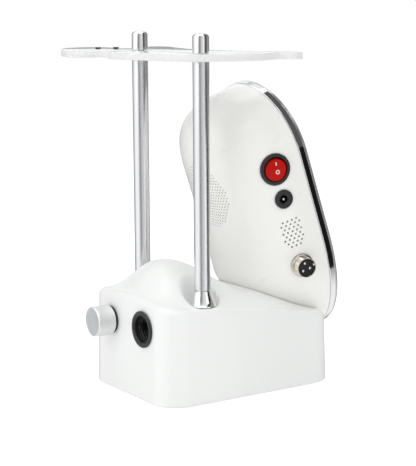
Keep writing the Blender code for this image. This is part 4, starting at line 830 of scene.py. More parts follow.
# ---------------------------------------------------------------- console
@dataclass
class Console(Assembly):
    """The leaning oval console: a moulded body, a chrome rim and a glass front."""

    tilt: float = math.radians(18.7)
    origin: Vector = field(default_factory=lambda: Vector((0.0, -0.056, 0.170)))
    half_width: float = 0.0525
    top_centre: float = 0.011
    bottom_centre: float = -0.060
    bottom_length: float = 0.083
    depth: float = 0.067
    wall: float = 0.0026
    inset: float = 0.0005
    side_power: float = 2.5
    top_power: float = 3.3
    keel_power: float = 2.2
    flare: float = 0.004
    flare_centre: float = -0.085
    flare_reach: float = 0.026
    rim_depth: float = 0.008
    rim_width: float = 0.0040
    glass_front: float = 0.0014
    glass_back: float = 0.0044
    window_width: float = 0.070
    window_height: float = 0.092
    window_up: float = -0.015
    keys_up: float = -0.094
    key_pitch: float = 0.021
    key_length: float = 0.0060
    key_stroke: float = 0.0007
    neck_y: float = -0.049
    neck_seat: float = 0.0605
    neck_hole: float = 0.0083
    neck_boss: float = 0.014
    fitting_depth: float = 0.031
    fan_centre: float = -0.006
    fan_vent_depth: float = 0.058
    fan_vent_radius: float = 0.0255
    fan_vent_pitch: float = 0.0027
    fan_vent_hole: float = 0.00078
    vent_up: float = -0.045
    vent_rows: tuple[int, ...] = (4, 5, 4, 5, 4, 5, 4, 3)
    vent_pitch: float = 0.0038
    vent_row: float = 0.0029
    vent_hole: float = 0.00090

    def __post_init__(self) -> None:
        """Works out the screen's two directions and where the moulded body starts."""
        self.up = Vector((0.0, math.sin(self.tilt), math.cos(self.tilt)))
        self.inward = Vector((0.0, math.cos(self.tilt), -math.sin(self.tilt)))
        self.start = self.rim_depth + GAP

    def point(self, across: float, up: float, behind: float) -> Vector:
        """A place given across, up and behind the screen plane."""
        return self.origin + Vector((across, 0.0, 0.0)) + self.up * up + self.inward * behind

    def rays(self, arc: int, side: int, grow: float) -> list[tuple[float, tuple[float, float]]]:
        """Rays from the console's middle line out to its oval edge.

        Args:
            arc: Rays in each end arc.
            side: Rays in each straight side.
            grow: How far the edge is moved out.

        Returns:
            For each ray, the height of its foot on the middle line, and its edge point.
        """
        half = self.half_width + grow
        drop = self.bottom_centre - self.top_centre
        found = []
        for start, foot, reach, way in (
            (0.0, self.top_centre, half, 1),
            (math.pi, self.bottom_centre, self.bottom_length + grow, -1),
        ):
            for step in range(arc + 1):
                angle = start + math.pi * step / arc
                found.append((foot, (half * math.cos(angle), foot + reach * math.sin(angle))))
            for step in range(1, side):
                middle = foot + way * drop * step / side
                found.append((middle, (-way * half, middle)))
        return found

    def oval(self, bm: Mesh, arc: int, side: int, grow: float, behind: float) -> list:
        """Vertices round the console's edge, at a depth behind the screen plane."""
        rays = self.rays(arc, side, grow)
        return [bm.verts.new(self.point(*edge, behind)) for _, edge in rays]

    def width(self, up: float, grow: float) -> float:
        """Half the console's width.

        Args:
            up: The height up the screen.
            grow: How far the edge is moved out.

        Returns:
            The half width.
        """
        half = self.half_width + grow
        if up > self.top_centre:
            return math.sqrt(max(0.0, half**2 - (up - self.top_centre) ** 2))
        if up < self.bottom_centre:
            share = (self.bottom_centre - up) / (self.bottom_length + grow)
            return half * math.sqrt(max(0.0, 1.0 - share**2))
        return half

    def back(self, across: float, up: float, grow: float, start: float) -> float:
        """How far the rear surface is behind the screen plane.

        Args:
            across: Place across the screen.
            up: Place up the screen.
            grow: How far the surface is moved out.
            start: Where the surface leaves the rim.

        Returns:
            The depth.
        """
        swell = max(0.0, 1.0 - ((up - self.flare_centre) / self.flare_reach) ** 2) ** 2
        depth = self.depth + self.flare * swell
        along = 1.0
        if up > self.top_centre:
            share = min(1.0, (up - self.top_centre) / (self.half_width + grow))
            along = (1.0 - share**self.top_power) ** (1 / self.top_power)
        elif up < self.bottom_centre:
            share = min(1.0, (self.bottom_centre - up) / (self.bottom_length + grow))
            along = 1.0 - share**self.keel_power
        width = self.width(up, grow)
        out = min(1.0, abs(across) / width) if width > 1e-9 else 1.0
        bulge = (1.0 - out**self.side_power) ** (1 / self.side_power)
        return start + (depth + grow - start) * along * bulge

    def form(
        self, grow: float, front: float | None = None, arc: int = 96, side: int = 24, rows: int = 26
    ) -> Mesh:
        """The console's closed form.

        Args:
            grow: How far it is moved out all round.
            front: A depth to which it reaches forward, if it does.
            arc: Rays in each end arc, an even number.
            side: Rays in each straight side.
            rows: Rows between the rim and the middle line.

        Returns:
            The mesh.
        """
        grow -= self.inset
        rays = self.rays(arc, side, grow)
        bm = bmesh.new()
        loops = [] if front is None else [self.oval(bm, arc, side, grow, front)]
        for row in range(rows + 1):
            share = math.cos(math.radians(88.8) * row / rows) ** (2 / self.side_power)
            loop = []
            for middle, edge in rays:
                across = edge[0] * share
                up = middle + (edge[1] - middle) * share
                behind = self.start if row == 0 else self.back(across, up, grow, self.start)
                loop.append(bm.verts.new(self.point(across, up, behind)))
            loops.append(loop)
        bridge(bm, loops)
        bm.faces.new(loops[0])
        last = loops[-1]
        half, count = arc // 2, len(rays) // 2
        left = [last[(half + 1 + k) % len(rays)] for k in range(count)]
        right = [last[(half - 1 - k) % len(rays)] for k in range(count)]
        bm.faces.new((last[half], left[0], right[0]))
        for k in range(count - 2):
            bm.faces.new((left[k], left[k + 1], right[k + 1], right[k]))
        bm.faces.new((left[count - 2], left[count - 1], right[count - 2]))
        return bm

    def side_frame(self, up: float, behind: float) -> Matrix:
        """A frame on the -X side wall, with Z out of the wall and Y up the screen.

        Args:
            up: Place up the screen.
            behind: Place behind the screen plane.

        Returns:
            The frame.
        """
        depth = self.back(0.0, up, -self.inset, self.start) - self.start
        width = self.width(up, -self.inset)

        def half(at_depth: float) -> float:
            """Half the width at a depth."""
            share = (at_depth - self.start) / depth
            return width * (1 - share**self.side_power) ** (1 / self.side_power)

        step = 0.0005
        slope = (half(behind + step) - half(behind - step)) / (2 * step)
        outward = Vector((-1.0, 0.0, 0.0)) - self.inward * slope
        return facing(self.point(-half(behind), up, behind), outward, self.up)

    def fitting_frame(self, up: float, radius: float) -> Matrix:
        """A frame on the flat seat of a side fitting.

        Args:
            up: Place up the screen.
            radius: Of the fitting's flange.

        Returns:
            The frame, as deep as the wall falls away under the flange.
        """
        here = self.side_frame(up, self.fitting_depth)
        lowest = 0.0
        for offset in (-radius, radius):
            beside = self.side_frame(up, self.fitting_depth + offset * 0.97).translation
            lowest = min(lowest, (here.inverted() @ beside).z)
        return here @ raised(lowest)

    def fan_vent(self) -> Mesh:
        """Round holes in staggered rows that fill a circle.

        Returns:
            The cutter.
        """
        bm = bmesh.new()
        row_step = self.fan_vent_pitch * math.sqrt(3) / 2
        rows = int(self.fan_vent_radius / row_step)
        for row in range(-rows, rows + 1):
            y = row * row_step
            reach = math.sqrt(self.fan_vent_radius**2 - y * y)
            shift = self.fan_vent_pitch / 2 if row % 2 else 0.0
            count = int((reach + shift) / self.fan_vent_pitch) + 1
            for hole in range(-count, count + 1):
                x = hole * self.fan_vent_pitch + shift
                if abs(x) <= reach:
                    drum(self.fan_vent_hole, -0.001, 0.02, 12, (x, y), bm)
        return bm

    def side_vent(self) -> Mesh:
        """Round holes in staggered rows on the side.

        Returns:
            The cutter.
        """
        bm = bmesh.new()
        for row, count in enumerate(self.vent_rows):
            y = (len(self.vent_rows) / 2 - 0.5 - row) * self.vent_row
            for hole in range(count):
                x = (hole - (count - 1) / 2) * self.vent_pitch
                drum(self.vent_hole, -0.008, 0.004, 16, (x, y), bm)
        return bm

    def build(self, fittings: Iterable["SideFitting"]) -> None:
        """The moulded body with its vents and the seats of its side fittings, and the front.

        Args:
            fittings: The side fittings.
        """
        neck = (0.0, self.neck_y)
        shell = Solid(self.form(0.0))
        hollow = Solid(self.form(-self.wall, 0.0, 48, 12, 16))
        hollow.cut(drum(self.neck_boss, 0.0, self.neck_seat, 32, neck))
        shell.cut(hollow.take())
        shell.cut(drum(self.neck_hole, 0.0, 0.09, 32, neck))
        vent = self.point(0.0, self.fan_centre, self.fan_vent_depth)
        shell.cut(self.fan_vent(), facing(vent, self.inward, self.up))
        shell.cut(self.side_vent(), self.side_frame(self.vent_up, self.fitting_depth))
        for fitting in fittings:
            shell.cut(drum(fitting.flange_radius + 2 * GAP, 0.0, 0.02, 64), fitting.seat)
            shell.cut(drum(fitting.body_radius + GAP, -0.012, 0.01, 48), fitting.seat)
        self.add("console_body", shell.take(), "pod_white", Slot.SHELL, node="console_shell")
        self.add_rim()
        self.add_glass()

    def add_rim(self) -> None:
        """The chrome rim: a side band, a fine groove and a rounded front bead."""
        depth, width = self.rim_depth, self.rim_width
        section = [(-width, depth), (-0.0005, depth), (-0.00015, depth - 0.0001)]
        section += [(0.0, depth - 0.0004), (0.0, depth - 0.0007), (0.0, 0.0034), (0.0, 0.0031)]
        section += [(-0.00008, 0.0029), (-0.00045, 0.0028), (-0.00045, 0.0025)]
        section.append((-0.00008, 0.0024))
        across = width / 2 - 0.0001
        for step in range(1, 12):
            angle = math.pi * step / 12
            out = -0.0001 - across + across * math.cos(angle)
            section.append((out, 0.0022 - 0.0021 * math.sin(angle)))
        section.append((-width, 0.0024))
        bm = bmesh.new()
        bridge(bm, [self.oval(bm, 96, 24, grow, behind) for grow, behind in section], closed=True)
        self.add("console_rim", bm, "bright_chrome", Slot.CHROME, node="chrome_rim", sharp=40.0)

    def add_glass(self) -> None:
        """The glass front, with an unlit screen window and plain key marks."""
        bm = bmesh.new()
        inset = -self.rim_width - GAP
        front = self.glass_front
        levels = [(0.0, self.glass_back), (0.0, front + 0.0006)]
        levels += [(0.00015, front + 0.00015), (0.0006, front)]
        loops = [self.oval(bm, 72, 16, inset - shrink, behind) for shrink, behind in levels]
        bridge(bm, loops)
        bm.faces.new(loops[0])
        bm.faces.new(loops[-1])
        self.add("front_glass", bm, "screen_glass", Slot.GLASS, node="front_panel")
        face = facing(self.point(0.0, 0.0, front), -self.inward, self.up)
        outline = rounded_rectangle(self.window_width, self.window_height, 0.003, 8, 1)
        window = slab(outline, 0.00002, 0.00012, 0.00003)
        middle = face @ Matrix.Translation((0.0, self.window_up, 0.0))
        self.add("screen_window", window, "screen_window", Slot.GLASS, middle)
        keys = face @ Matrix.Translation((0.0, self.keys_up, 0.0))
        low, high = 0.00002, 0.0001
        marks = lathe([(0.0070, low), (0.0078, low), (0.0078, high), (0.0070, high)], 64)
        drum(0.0011, low, high, 32, (0.0, 0.0), marks)
        for side in (-self.key_pitch, self.key_pitch):
            slab(bar(self.key_length, self.key_stroke, 0.0003, side), low, high, 0.0, marks)
        self.add("key_marks", marks, "printed_white", Slot.GLASS, keys)
        upright = bar(self.key_stroke, self.key_length, 0.0003, self.key_pitch)
        plus = slab(upright, low + 0.00001, high + 0.00002)
        self.add("key_plus", plus, "printed_white", Slot.GLASS, keys)


# ---------------------------------------------------------------- side fittings of the console
@dataclass
class SideFitting(Assembly):
    """What the switch, the inlet and the connector share: a round flange on a flat seat."""

    console: Console
    up: float
    flange_radius: float
    body_radius: float

    def __post_init__(self) -> None:
        """Finds its seat on the console."""
        self.seat = self.console.fitting_frame(self.up, self.flange_radius)
        self.at = self.seat @ raised(GAP)


@dataclass
class RockerSwitch(SideFitting):
    """The round mains rocker: a black bezel and a red rocker with a line and a ring on it."""

    up: float = 0.007
    flange_radius: float = 0.0119
    body_radius: float = 0.0101
    radius: float = 0.0084
    bezel_height: float = 0.0020
    body_length: float = 0.015
    pocket: float = 0.0095
    rocker_base: float = -0.0030
    swing: float = math.radians(8.0)
    mark_x: float = 0.0010

    def surface(self, y: float) -> float:
        """Height of the rocker's hollowed top along its length."""
        share = min(1.0, abs(y) / self.radius)
        return 0.0029 + 0.0011 * share**1.4

    def build(self) -> None:
        """The bezel, the rocker and its marks."""
        top = self.bezel_height
        inner = self.radius + RUNNING_GAP
        profile = [(0.0, -self.body_length), (self.body_radius, -self.body_length)]
        profile += [(self.body_radius, 0.0), (self.flange_radius, 0.0)]
        profile += [(self.flange_radius, top, 0.0009), (inner + 0.0003, top, 0.0003)]
        profile += [(inner, top - 0.0007, 0.0003), (inner, top - self.pocket)]
        profile.append((0.0, top - self.pocket))
        bezel = turned(profile, rounds=5)
        self.add("switch_bezel", bezel, "black_fitting", Slot.BLACK, self.at, "switch_housing")
        shares = (0.0, 0.2, 0.4, 0.6, 0.75, 0.88, 0.955)
        rings = [(self.radius * share, 0.0) for share in shares]
        rings += [(self.radius * 0.985, -0.00012), (self.radius, -0.0005)]
        rings.append((self.radius, self.rocker_base))

        def follow(radius: float, drop: float, angle: float) -> tuple[float, float]:
            """Lays all but the underside on the hollowed top."""
            lift = 0.0 if drop == self.rocker_base else self.surface(radius * math.sin(angle))
            return radius, lift + drop

        tilted = self.at @ raised(top + self.rocker_base) @ Matrix.Rotation(self.swing, 4, "X")
        cap = lathe(rings, 72, warp=follow)
        self.add("rocker_cap", cap, "rocker_red", Slot.RED, tilted, "rocker", Body.ROCKER, 50.0)
        line = self.laid(bar(0.00075, 0.0030, 0.0003, self.mark_x, 0.0050), [])
        ring_place = Vector((self.mark_x, -0.0020))
        ring = self.laid(*([p + ring_place for p in circle(40, r)] for r in (0.0016, 0.0010)))
        for name, mark in (("rocker_mark_on", line), ("rocker_mark_off", ring)):
            self.add(name, mark, "printed_white", Slot.RED, tilted, body=Body.ROCKER)

    def laid(self, outer: Sequence[Vector], inner: Sequence[Vector]) -> Mesh:
        """A thin printed shape that follows the rocker's top.

        Args:
            outer: Its outer edge.
            inner: The edge of the hole in it, or nothing.

        Returns:
            The mesh.
        """
        bm = bmesh.new()
        low, high = -0.00005, 0.00009
        loops = []
        for points, lift in ((outer, low), (outer, high), (inner, high), (inner, low)):
            if points:
                loops.append([bm.verts.new((p.x, p.y, self.surface(p.y) + lift)) for p in points])
        bridge(bm, loops, closed=bool(inner))
        if not inner:
            bm.faces.new(loops[0])
            bm.faces.new(loops[-1])
        return bm


@dataclass
class PowerJack(SideFitting):
    """The round low-voltage inlet with its bright centre pin."""

    up: float = -0.017
    flange_radius: float = 0.00715
    body_radius: float = 0.0054
    flange_height: float = 0.0016
    body_length: float = 0.012
    bore_radius: float = 0.0030
    bore_depth: float = 0.009
    pin_radius: float = 0.00105

    def build(self) -> None:
        """The flange with its bore, and the pin."""
        top = self.flange_height
        floor = top - self.bore_depth
        bore = self.bore_radius
        profile = [(0.0, -self.body_length), (self.body_radius, -self.body_length)]
        profile += [(self.body_radius, 0.0), (self.flange_radius, 0.0)]
        profile += [(self.flange_radius, top, 0.0006), (bore + 0.0012, top, 0.0002)]
        profile += [(bore + 0.0009, top - 0.0003, 0.0002), (bore, top - 0.0009, 0.0003)]
        profile += [(bore, floor), (0.0, floor)]
        jack = turned(profile, 72)
        self.add("jack_flange", jack, "black_fitting", Slot.BLACK, self.at, "dc_jack")
        pin = [(0.0, floor + GAP), (self.pin_radius, floor + GAP)]
        pin += [(self.pin_radius, top - 0.0010, 0.0006), (0.0, top - 0.0008)]
        pin = turned(pin, 32)
        self.add("jack_pin", pin, "contact_silver", Slot.CHROME, self.at, "dc_jack_pin")


@dataclass
class RoundConnector(SideFitting):
    """The three-pin nickel connector: flange, threaded barrel, black insert, pins and key."""

    up: float = -0.072
    flange_radius: float = 0.009
    body_radius: float = 0.0076
    flange_height: float = 0.0018
    barrel_height: float = 0.0075
    body_length: float = 0.010
    bore_radius: float = 0.0070
    bore_depth: float = 0.0125
    insert_height: float = 0.0105
    threads: int = 5
    thread_depth: float = 0.00045
    pin_radius: float = 0.0011
    pin_circle: float = 0.0034

    def build(self) -> None:
        """The shell, the insert and the pins."""
        flange = self.flange_height
        barrel = self.body_radius
        top = flange + self.barrel_height
        floor = top - self.bore_depth
        root = barrel - self.thread_depth
        points = [(0.0, -self.body_length), (barrel, -self.body_length), (barrel, 0.0)]
        points += [(self.flange_radius, 0.0), (self.flange_radius, flange, 0.0004)]
        points += [(root, flange, 0.0002), (root, flange + 0.0012, 0.0001)]
        pitch = (self.barrel_height - 0.0024) / self.threads
        for turn in range(self.threads):
            low = flange + 0.0014 + turn * pitch
            points.append((barrel, low + pitch * 0.35, 0.0001))
            points.append((barrel, low + pitch * 0.60, 0.0001))
            points.append((root, low + pitch * 0.95, 0.0001))
        points += [(barrel - 0.0001, top - 0.0009, 0.0001), (barrel - 0.0001, top, 0.0003)]
        points += [(self.bore_radius, top, 0.0002), (self.bore_radius, floor), (0.0, floor)]
        shell = turned(points, rounds=3)
        self.add("connector_shell", shell, "warm_nickel", Slot.CHROME, self.at, "aviation_socket")
        low = floor + GAP
        high = low + self.insert_height
        radius = self.bore_radius - 0.00012
        insert = [(0.0, low), (radius, low), (radius, high, 0.0003), (0.0, high)]
        core = Solid(turned(insert, 72))
        core.cut(slab(bar(0.0022, 0.0030, 0.0004, radius), high - 0.003, high + 0.002))
        places = circle(3, self.pin_circle, math.pi / 2)
        for place in places:
            core.cut(drum(self.pin_radius + 0.0004, high - 0.0012, high + 0.001, 24, place))
        insert = core.take()
        self.add("connector_insert", insert, "deep_black", Slot.BLACK, self.at, "aviation_insert")
        pins = bmesh.new()
        foot, tip = high - 0.0011, high + 0.0004
        pin = [(0.0, foot), (self.pin_radius, foot), (self.pin_radius, tip, 0.0004), (0.0, tip)]
        for place in places:
            lathe(eased(pin), 24, place, pins)
        rib = bar(0.0012, 0.0018, 0.0003, radius - 0.0004)
        slab(rib, high - 0.0028, high + 0.0004, 0.0001, pins)
        self.add("connector_pins", pins, "contact_silver", Slot.CHROME, self.at)


# ---------------------------------------------------------------- base
@dataclass
class BaseHousing(Assembly):
    """The moulded base: it rises to the rear, and has a hump behind the console."""

    console: Console
    width: float = 0.116
    depth: float = 0.153
    corner: float = 0.020
    draft: float = math.radians(1.2)
    wall: float = 0.0028
    top_fillet: float = 0.005
    floor: float = 0.001
    foot_ease: float = 0.0004
    edge_height: float = 0.0596
    edge_rise: float = 0.139
    edge_curvature: float = 0.5
    crown: float = 0.016
    crown_centre: float = -0.005
    crown_reach: float = 0.075
    hump: float = 0.0258
    hump_centre: float = 0.0465
    hump_half_width: float = 0.056
    hump_front: float = 0.057
    hump_rear: float = 0.031
    post_x: float = 0.0424
    post_y: float = 0.0357
    post_seat: float = 0.0696
    pad_radius: float = 0.0109
    pad_blend: float = 0.0140
    pocket_flare: float = 0.35  # how far the pocket's wall leans out for each metre up
    pocket_round: float = 0.004  # how softly its rim runs out
    saddle_gap: float = 0.0006
    screw_x: float = 0.0458
    screw_y: float = 0.0643
    # Columns on the axes of the posts, the plate screws and the neck.
    bosses: tuple[Column, ...] = (
        (0.0098, 0.058, 0.12, 24), (0.0045, 0.0043, 0.12, 24), (0.014, 0.0395, 0.12, 32)
    )
    bores: tuple[Column, ...] = (
        (0.0043, 0.04, 0.12, 24), (0.0018, -0.01, 0.017, 16), (0.0083, 0.03, 0.09, 32)
    )
    knob_hole: float = 0.0049
    knob_radius: float = 0.0113
    socket_hole: float = 0.0108
    socket_radius: float = 0.0135

    def __post_init__(self) -> None:
        """Finds the frames of the knob and the socket on the rear wall."""
        self.knob_at = self.rear_frame("knob", self.knob_radius)
        self.socket_at = self.rear_frame("socket_bezel", self.socket_radius)

    def rear_frame(self, node: str, radius: float) -> Matrix:
        """A frame on the rear wall with Z out of it, clear of the wall over a radius.

        Args:
            node: The CAD node whose axis it is on.
            radius: The radius.

        Returns:
            The frame.
        """
        low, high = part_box(node)
        x, z = (low.x + high.x) / 2, (low.z + high.z) / 2
        wall_y = self.depth / 2 - math.tan(self.draft) * (z - radius)
        return facing(Vector((x, wall_y + GAP, z)), Vector((0.0, 1.0, 0.0)), UP)

    @staticmethod
    def bell(distance: float, reach: float) -> float:
        """A smooth bump that is 1 at distance 0, and 0 from the reach on."""
        return max(0.0, 1.0 - (distance / reach) ** 2) ** 2

    def roof(self, x: float, y: float) -> float:
        """Height of the base's top, blended into the flat pads under the posts.

        Args:
            x: Place across the base.
            y: Place along it, to the rear.

        Returns:
            The height.
        """
        edge = self.edge_height + self.edge_rise * y + self.edge_curvature * y * y
        across = 1.0 - min(1.0, abs(2 * x / self.width)) ** 4
        crown = self.crown * self.bell(y - self.crown_centre, self.crown_reach) * across
        reach = self.hump_rear if y > self.hump_centre else self.hump_front
        hump = self.hump * self.bell(y - self.hump_centre, reach)
        height = self.floor + edge + crown + hump * self.bell(x, self.hump_half_width)
        away = math.hypot(abs(x) - self.post_x, y - self.post_y)
        limit = self.post_seat + max(0.0, away - self.pad_radius) / self.pocket_flare
        near = max(self.pocket_round - abs(height - limit), 0.0) / self.pocket_round
        height = min(height, limit) - near * near * self.pocket_round / 4
        share = (away - self.pad_radius) / (self.pad_blend - self.pad_radius)
        share = min(1.0, max(0.0, share))
        share = share * share * (3 - 2 * share)
        return self.post_seat + (height - self.post_seat) * share

    def pulled_in(self, point: Vector, amount: float) -> Vector:
        """A point of the outline moved in by an amount on both axes."""
        x, y = 1 - 2 * amount / self.width, 1 - 2 * amount / self.depth
        return Vector((point.x * x, point.y * y))

    def form(self, inset: float, bottom: float, drop: float, fillet: float, detail: int) -> Mesh:
        """The base's closed outer form, or the hollow inside it.

        Args:
            inset: How far it is inside the outside.
            bottom: Height of its underside.
            drop: How far its top is below the outer one.
            fillet: Radius of its top edge.
            detail: Steps in each corner; the rest follows.

        Returns:
            The mesh.
        """
        bm = bmesh.new()
        outline = rounded_rectangle(self.width, self.depth, self.corner, detail, detail * 2)
        ease = self.foot_ease
        loops = []
        for rise, extra in ((0.0, 0.0),) if inset else ((0.0, ease), (ease, 0.0)):
            points = [self.pulled_in(p, inset + extra) for p in outline]
            loops.append([bm.verts.new((p.x, p.y, bottom + rise)) for p in points])
        arc = max(2, detail // 2)
        lean = math.tan(self.draft)
        for step in range(arc + 1):
            angle = step * math.pi / 2 / arc
            loop = []
            for point in outline:
                edge = self.pulled_in(point, inset + lean * self.edge_height + fillet)
                top = self.roof(edge.x, edge.y) - drop
                height = top - fillet + fillet * math.sin(angle)
                amount = inset + lean * height + fillet * (1 - math.cos(angle))
                place = self.pulled_in(point, amount)
                if step == arc:
                    height = self.roof(place.x, place.y) - drop
                loop.append(bm.verts.new((place.x, place.y, height)))
            loops.append(loop)
        rim = [Vector((v.co.x, v.co.y)) for v in loops[-1]]
        rows = detail * 3
        for row in range(1, rows):
            places = [point * (1.0 - row / rows) for point in rim]
            loops.append([bm.verts.new((*p, self.roof(p.x, p.y) - drop)) for p in places])
        bridge(bm, loops)
        bm.faces.new(loops[0])
        middle = bm.verts.new((0.0, 0.0, self.roof(0.0, 0.0) - drop))
        last = loops[-1]
        for step, vert in enumerate(last):
            bm.faces.new((vert, last[(step + 1) % len(last)], middle))
        return bm

    def columns(self, post: Column, screw: Column, neck: Column) -> Mesh:
        """Round bodies on the axes of the posts, the plate screws and the console's neck.

        Args:
            post: Those on the posts' axes.
            screw: Those on the screws' axes.
            neck: The one on the neck's axis.

        Returns:
            The cutter.
        """
        bm = bmesh.new()
        for side in (1, -1):
            drum(*post, (side * self.post_x, self.post_y), bm)
        for x in (self.screw_x, -self.screw_x):
            for y in (self.screw_y, -self.screw_y):
                drum(*screw, (x, y), bm)
        return drum(*neck, (0.0, self.console.neck_y), bm)

    def build(self) -> None:
        """The housing, hollow and open below, with its saddle and its holes."""
        gap, wall, fillet = self.saddle_gap, self.wall, self.top_fillet
        shell = Solid(self.form(0.0, self.floor, 0.0, fillet, 20))
        shell.cut(self.console.form(gap, None, 64, 16, 20))
        hollow = Solid(self.form(wall, -0.01, wall, fillet - wall / 2, 6))
        hollow.cut(self.console.form(gap + wall, None, 32, 8, 10))
        hollow.cut(self.columns(*self.bosses))
        shell.cut(hollow.take())
        shell.cut(self.columns(*self.bores))
        shell.cut(drum(self.knob_hole, -0.02, 0.01, 32), self.knob_at)
        shell.cut(drum(self.socket_hole, -0.02, 0.01, 64), self.socket_at)
        self.add("base_housing", shell.take(), "base_white", Slot.SHELL, node="base_shell")
        for place in ("rear_left", "rear_right", "front_left", "front_right"):
            self.add_foot("foot_" + place)
            self.add_screw("plate_screw_" + place)

    def add_foot(self, node: str) -> None:
        """A rubber foot with an eased rim and a dished underside.

        Args:
            node: The CAD node that it stands for.
        """
        at, radius, _, high = stand(node)
        points = [(0.0, 0.0005), (radius - 0.0022, 0.0005, 0.0004)]
        points += [(radius - 0.0018, 0.0, 0.0003), (radius, 0.0, 0.0005)]
        points += [(radius, high, 0.0002), (0.0, high)]
        foot = turned(points, 64)
        self.add("rubber_" + node, foot, "foot_rubber", Slot.RUBBER, at, node)

    def add_screw(self, node: str) -> None:
        """A cross-head screw, head down.

        Args:
            node: The CAD node that it stands for.
        """
        at, radius, low, high = stand(node)
        shank, head, length = 0.0015, 0.0013, high - low
        points = [(0.0, 0.0), (radius, 0.0, 0.0006), (radius, head, 0.0002), (shank, head)]
        points += [(shank, length - 0.001, 0.0003), (0.0, length)]
        body = Solid(turned(points, 40))
        for turn in (0.0, math.pi / 2):
            arm = slab(bar(0.0030, 0.0007, 0.0002, steps=3), -0.001, 0.0009)
            body.cut(arm, Matrix.Rotation(turn, 4, "Z"))
        self.add("cross_" + node, body.take(), "zinc", Slot.ZINC, at @ raised(low), node)


@dataclass
class OutputKnob(Assembly):
    """The turned aluminium knob: a finely ribbed side, a bright edge and a spun face."""

    housing: BaseHousing
    low: float = 0.0018
    length: float = 0.0145
    ribs: int = 84
    rib_depth: float = 0.00010
    rib_end: float = 0.0014  # how far the ribs stay from the knob's back
    bore: float = 0.0033
    collar_radius: float = 0.0104
    collar_height: float = 0.001

    def build(self) -> None:
        """The knob and the dark collar behind it."""
        at = self.housing.knob_at
        radius = self.housing.knob_radius
        low, high = self.low, self.low + self.length
        recess, recess_top = radius - 0.0025, low + 0.0065
        face = radius - 0.0011
        rows = [(0.0, recess_top + 0.0053), (self.bore, recess_top + 0.0053)]
        rows += [(self.bore, recess_top), (recess, recess_top), (recess, low)]
        rows += [(radius - 0.0005, low), (radius, low + 0.0005), (radius, low + 0.0012)]
        rows += [(radius, low + 0.0016), (radius, high - 0.0021), (radius, high - 0.0017)]
        rows += [(radius, high - 0.0009), (radius - 0.0002, high - 0.0004)]
        rows += [(radius - 0.0007, high - 0.00008), (radius - 0.0009, high), (face, high)]
        rows += [(face - 0.00025, high - 0.00022), (0.0075, high - 0.00026)]
        rows += [(0.0040, high - 0.00029), (0.0, high - 0.0003)]

        def rib(out: float, height: float, angle: float) -> tuple[float, float]:
            """Ribs the side between the bands at its two ends."""
            ribbed = out == radius and low + self.rib_end < height < high - 0.0019
            return out - ribbed * self.rib_depth * (0.5 - 0.5 * math.cos(angle * self.ribs)), height

        bm = lathe(rows, self.ribs * 4, warp=rib)
        for part in bm.faces:
            inside = all(math.hypot(v.co.x, v.co.y) < face + 1e-6 for v in part.verts)
            part.material_index = int(inside and min(v.co.z for v in part.verts) > high - 0.001)
        finishes = ("knob_side", "knob_face")
        self.add("knob_cap", bm, finishes, Slot.ALUMINIUM, at, "knob", Body.KNOB, 24.0)
        bore, tall = self.housing.knob_hole, self.collar_height
        collar = [(bore, 0.0), (self.collar_radius, 0.0)]
        collar += [(self.collar_radius, tall, 0.0003), (bore, tall)]
        self.add("knob_ring", turned(collar), "deep_black", Slot.BLACK, at, "knob_collar")


@dataclass
class HandpieceSocket(Assembly):
    """The black handpiece socket: a bezel, a stepped bore with a key, and four contacts."""

    housing: BaseHousing
    flange_height: float = 0.0014
    barrel_radius: float = 0.0105
    barrel_length: float = 0.017
    bore_radius: float = 0.0085
    floor: float = 0.002
    insert_radius: float = 0.0078
    insert_length: float = 0.005
    contact_radius: float = 0.0009
    contact_circle: float = 0.0042

    def build(self) -> None:
        """The bezel, the insert with its contacts, and the key."""
        at = self.housing.socket_at
        rim, barrel, bore = self.housing.socket_radius, self.barrel_radius, self.bore_radius
        top, bottom = self.flange_height, -self.barrel_length
        floor = bottom + self.floor
        points = [(0.0, bottom), (barrel, bottom), (barrel, 0.0), (rim, 0.0)]
        points += [(rim, top, 0.0008), (bore + 0.0025, top, 0.0003)]
        points += [(bore + 0.0014, top - 0.0010, 0.0002), (bore + 0.0013, top - 0.0040, 0.0002)]
        points.append((bore, top - 0.0040, 0.0003))
        for turn in range(3):
            low = top - 0.0052 - turn * 0.0021
            points += [(bore, low, 0.0002), (bore - 0.0006, low - 0.0004, 0.0002)]
            points += [(bore - 0.0006, low - 0.0009, 0.0002), (bore, low - 0.0013, 0.0002)]
        points += [(bore, floor), (0.0, floor)]
        bezel = turned(points)
        # The bore's inside, from chamfer to floor, takes the darker, rougher deep_black; its darker
        # colour is painted shade in the bore.
        for part in bezel.faces:
            centre = part.calc_center_median()
            inside = math.hypot(centre.x, centre.y) < bore + 0.0024
            part.material_index = int(inside and centre.z > bottom)
        finishes = ("socket_black", "deep_black")
        self.add("socket_ring", bezel, finishes, Slot.BLACK, at, "socket_bezel")
        low = floor + GAP
        high = low + self.insert_length
        core = [(0.0, low), (self.insert_radius, low), (self.insert_radius, high, 0.0005)]
        core += [(0.0062, high, 0.0003), (0.0059, high - 0.0008, 0.0003), (0.0, high - 0.0008)]
        core = turned(core, 72)
        self.add("socket_core", core, "deep_black", Slot.BLACK, at, "socket_insert")
        contacts = bmesh.new()
        foot, tip, radius = high - 0.0007, high + 0.0028, self.contact_radius
        pin = eased([(0.0, foot), (radius, foot), (radius, tip, 0.0006), (0.0, tip)])
        for place in circle(4, self.contact_circle, math.pi / 4):
            lathe(pin, 24, place, contacts)
        self.add("socket_contacts", contacts, "contact_silver", Slot.COPPER, at)
        key = bar(0.0014, 0.0026, 0.0003, 0.0013 - bore)
        rib = slab(key, floor + 0.006, top - 0.0030, 0.0002)
        self.add("socket_key", rib, "socket_black", Slot.BLACK, at)


